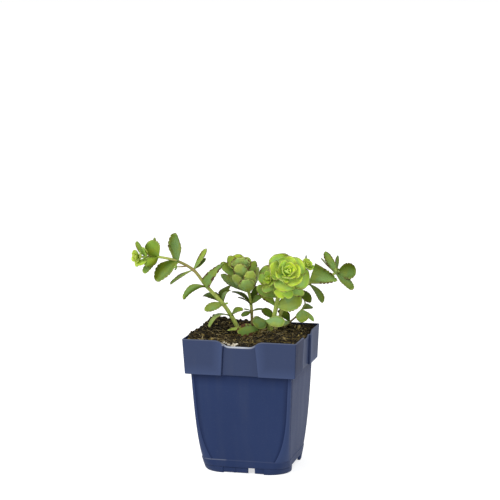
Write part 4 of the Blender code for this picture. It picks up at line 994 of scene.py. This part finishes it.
def stemSurface(twig, rooted):
    # a circle carried along the route without twisting, a little swollen where leaves spring
    p = stemPlan
    route = [np.array(point, float) for point in twig["route"]]
    tan = list(twig["tan"])
    if rooted:
        slope = route[1] - route[0]
        route = [route[0] - slope / slope[2] * p["rootDepth"]] + route
        tan = tan[:1] + tan
    points, place = smoothRoute(route, p["step"])
    radii = np.linspace(*twig["radius"], len(points))
    swelling, reach = p["swelling"]
    for node in {leaf[0] + rooted for leaf in twig.get("leaves", [])}:
        away = np.linalg.norm(points - route[node], axis=1)
        radii = radii * (1 + swelling * np.exp(-(away / reach) ** 2))
    radii[-3:] *= p["endTaper"]
    heading = np.gradient(points, axis=0)
    heading /= np.linalg.norm(heading, axis=1)[:, None]
    side = np.cross(heading[0], (0.31, 0.9, 0.3))
    turn = np.linspace(0, 2 * pi, p["sides"], endpoint=False)[:, None]
    rings = []
    for point, direction, radius in zip(points, heading, radii):
        side = side - direction * (side @ direction)
        side /= np.linalg.norm(side)
        rings.append(point + radius * (np.cos(turn) * side + np.sin(turn) * np.cross(direction, side)))
    tone = np.interp(place, np.arange(len(tan)), tan)
    return (np.concatenate([*rings, points[:1], points[-1:] + heading[-1] * p["endRound"]]),
            gridFaces(len(rings), p["sides"]), capFaces(len(rings), p["sides"]),
            np.concatenate([np.repeat(tone, p["sides"]), [tone[0], tone[-1]]]))


def leafOutline(s, form):
    # half the leaf's width for a width of 2: narrow at the base, widest past the middle, round at the tip
    waist, widest = form["waist"], form["widest"]
    rise = waist + (1 - waist) * np.sin(pi / 2 * np.clip(s / widest, 0, 1)) ** leafPlan["rise"]
    past = np.clip((s - widest) / (1 - widest), 0, 1)
    return rise * np.sqrt(1 - past ** leafPlan["tip"])


def leafSurface(base, tip, face, width, arch, cup, form, look):
    # a closed blade: rows s from base to tip, each an oval ring round the section. The midrib bows towards
    # the upper face by arch, the sides rise by cup times the square of the distance from it, and rounded
    # teeth stand along the outer margins
    p = leafPlan
    base, tip, normal = [np.asarray(values, float) for values in (base, tip, face)]
    chord = tip - base
    length = np.linalg.norm(chord)
    normal = normal - chord * (normal @ chord) / length ** 2
    normal /= np.linalg.norm(normal)
    across = np.cross(chord / length, normal)
    s = (1 - (1 - np.linspace(0, 0.997, p["rows"])) ** p["rowEase"])[:, None]
    turn = np.linspace(0, 2 * pi, p["around"], endpoint=False)[None, :]
    x = np.cos(turn)
    lift = np.sign(np.sin(turn)) * np.abs(np.sin(turn)) ** 0.7
    midrib = base + chord * s + normal * arch * 4 * s * (1 - s)
    along = chord + normal * arch * 4 * (1 - 2 * s)
    along /= np.linalg.norm(along, axis=1)[:, None]
    up = np.cross(across, along)
    # teeth: half waves along the margin, deeper towards the base, none before they start or at the very tip
    start = p["toothStart"] + chance.uniform(-0.05, 0.05)
    phase = form["teeth"] * np.clip((s - start) / (1 - start), 0, 1)
    scallop = np.abs(np.sin(pi * (phase + 0.1 * np.sin(2 * pi * phase)))) ** 0.7
    fadeIn, fadeOut = p["toothFade"]
    fade = np.clip((s - start) / fadeIn, 0, 1) * np.clip((1 - s) / fadeOut, 0, 1)
    tooth = form["toothDepth"] * (scallop - 0.55) * fade * (1.2 - 0.5 * s)
    half = width / 2 * (leafOutline(s, form) * (1 - form["taper"] * s) + tooth)
    # section: thickest at the midrib, thinner towards the tip, with a rippled margin and a grooved midrib
    past = np.clip((s - 0.8) / 0.2, 0, 1)
    thick = 0.5 * p["thick"] * (p["thin"] + (1 - p["thin"]) * (1 - x * x)) * (1 - 0.35 * s ** 3)
    thick = thick * np.sqrt(1 - 0.9 * past ** 6) * np.clip(width / 8, 0.6, 1.0)
    wave = form["ripple"] * width * np.sin(2 * pi * (1.7 * s + chance.uniform()) + pi * (x > 0)) * x * x * s
    depth, reach = p["groove"]
    groove = -depth * np.exp(-(x * half / reach) ** 2) * (lift > 0) * np.sin(pi * s)
    bend = chance.normal(0, 0.02) * length * s ** 2
    height = cup * half * x * x + thick * lift + wave + groove
    points = midrib[:, None] + across * (half * x + bend)[..., None] + up[:, None] * height[..., None]
    # marks
    youth, bloom, redness, shade, oneSideShade = look
    red = redness * (0.55 + 0.65 * scallop * (fade > 0)) * np.ones_like(x)
    place = np.stack([s + 0 * x, x + 0 * s, 0.5 + 0.5 * lift + 0 * s], -1).reshape(-1, 3)
    place = np.concatenate([place, [(0, 0, 0.5), (1, 1, 0.5)]])
    tone = np.stack([np.full(red.shape, youth), np.full(red.shape, bloom), red], -1).reshape(-1, 3)
    tone = np.concatenate([tone, [(youth, bloom, 0), (youth, bloom, redness)]])
    # painted shade, heavier on one side of the midrib
    paintedSideShade = abs(oneSideShade) * np.clip(0.25 + np.sign(oneSideShade) * place[:, 1] * 1.2, 0, 1)
    return (np.concatenate([points.reshape(-1, 3), midrib[:1], [tip]]), gridFaces(p["rows"], p["around"]),
            capFaces(p["rows"], p["around"]), place, tone, np.clip(shade + paintedSideShade, 0, 1))


def stemLeaves(twig):
    # the leaves along a twig, each a little younger or older and lighter or darker than its look
    for node, tip, face, width, arch, cup, look, *clasp in twig.get("leaves", []):
        youth, bloom, redness, shade, oneSideShade = leafLooks[look]
        look = (youth + chance.uniform(-0.06, 0.06), bloom, redness,
                max(shade + chance.uniform(-0.05, 0.05), 0), oneSideShade)
        form = dict(leafPlan["stemLeaf"])
        for part, more in leafPlan["clasping"].items():
            form[part] += more * sum(clasp)
        yield leafSurface(twig["route"][node], tip, face, width, arch, cup, form, look)


def rosetteLeaves(twig):
    # leaves a golden angle apart round an axis, longer and wider open outwards, the first wound into a heart
    p = leafPlan
    rosette = twig["rosette"]
    heart = np.array(twig["route"][rosette["at"]], float)
    axis = np.array(rosette["axis"], float)
    axis /= np.linalg.norm(axis)
    first = np.cross(axis, (0, 0, 1))
    first /= np.linalg.norm(first)
    second = np.cross(axis, first)
    inner, outer = [np.array(leafLooks[look]) for look in rosette["looks"]]
    for k in range(-rosette["heart"], rosette["count"]):
        opened = max(k / (rosette["count"] - 1), 0)
        spread = radians(np.interp(opened ** 0.85, (0, 1), rosette["spread"]))
        length = np.interp(opened, (0, 1), rosette["length"])
        if k < 0:
            spread = spread * (1 + k / (rosette["heart"] + 1))
            length = length * (1 + 0.55 * k / rosette["heart"])
        turn = radians(rosette["turn"]) + k * goldenAngle
        out = np.cos(turn) * first + np.sin(turn) * second
        base = heart + axis * rosette["depth"] * (0.5 - opened) - out * p["petalInset"]
        tip = base + length * (np.cos(spread) * axis + np.sin(spread) * out)
        face = np.sin(spread) * axis - np.cos(spread) * out
        look = inner + (outer - inner) * opened ** 0.55 + (chance.uniform(-0.05, 0.05), 0, 0, 0, 0)
        width = rosette["ratio"] * length * p["petalWider"]
        yield leafSurface(base, tip, face, width, p["petalArch"] * length, p["petalCup"], p["petal"], look)


def buildShoot(name, twigs, leafLook, stemLook):
    # a shoot's leaves are one piece and its stems another, and both stand for the shoot's node
    leaves, stems = [], []
    for number, twig in enumerate(twigs):
        stems.append(stemSurface(twig, number == 0))
        leaves += stemLeaves(twig)
        if "rosette" in twig:
            leaves += rosetteLeaves(twig)
    for kind, surfaces, marks, finish in (("Leaves", leaves, ["place", "tone", "shade"], leafLook),
                                          ("Stems", stems, ["tan"], stemLook)):
        points, *others = joinSurfaces(surfaces)
        addPiece("shoot" + name.capitalize() + kind, (toWorld(points), *others), marks, finish,
                 "shoot_" + name)


# stage: pale floor, soft lights and the camera at the photograph's angle

stagePlan = dict(
    eye=(319.76, -1326.22, 368.16), target=(-3.16, 0.0, 173.15), lens=125.15, sensor=36,
    floorReach=400.0, farthest=1500,                       # both in metres
    world=1.0, floorGlow=0.65, floorShades=((0.53, 0.53, 0.53), (0.57, 0.57, 0.57)),
    lampTarget=(0, 0, 120),                                # each lamp: place, size, power
    lamps={"key light": ((-620, -820, 900), 700, 10.0), "fill light": ((900, -500, 500), 600, 2.0)})


def setUp(name, data, place, target):
    # puts a lamp or camera at its place, turned towards its target
    holder = bpy.data.objects.new(name, data)
    holder.location = Vector(place) * millimetre
    holder.rotation_euler = (Vector(target) - Vector(place)).to_track_quat("-Z", "Y").to_euler()
    bpy.context.scene.collection.objects.link(holder)
    return holder


def buildStage():
    p = stagePlan
    scene = bpy.context.scene
    world = bpy.data.worlds.new("soft white studio")
    world.use_nodes = True
    world.node_tree.nodes["Background"].inputs["Color"].default_value = (1, 1, 1, 1)
    world.node_tree.nodes["Background"].inputs["Strength"].default_value = p["world"]
    scene.world = world
    scene.view_settings.view_transform = "Standard"
    for name, (place, size, power) in p["lamps"].items():
        lamp = bpy.data.lights.new(name, "AREA")
        lamp.shape = "DISK"
        lamp.size = size * millimetre
        lamp.energy = power
        setUp(name, lamp, place, p["lampTarget"])
    paper, tree = newFinish("white paper", 0.9, 0.0, Emission_Color=(1, 1, 1, 1),
                            Emission_Strength=p["floorGlow"])
    feed(tree, "Base Color", tint(tree, *p["floorShades"], noise(tree, 3.0, 2.0)))
    mesh = bpy.data.meshes.new("paleFloor")
    reach = p["floorReach"]
    mesh.from_pydata([(-reach, -reach, 0), (reach, -reach, 0), (reach, reach, 0), (-reach, reach, 0)], [],
                     [(0, 1, 2, 3)])
    mesh.materials.append(paper)
    floor = bpy.data.objects.new("paleFloor", mesh)
    scene.collection.objects.link(floor)
    camera = bpy.data.cameras.new("camera")
    camera.lens = p["lens"]
    camera.sensor_width = p["sensor"]
    camera.clip_end = p["farthest"]
    scene.camera = setUp("camera", camera, p["eye"], p["target"])


buildPot()
print("pot done")
buildSoil()
buildLitter()
print("soil done")
leafLook = leafFinish()
stemLook = stemFinish()
for name, twigs in shoots.items():
    buildShoot(name, twigs, leafLook, stemLook)
print("shoots done")
buildStage()
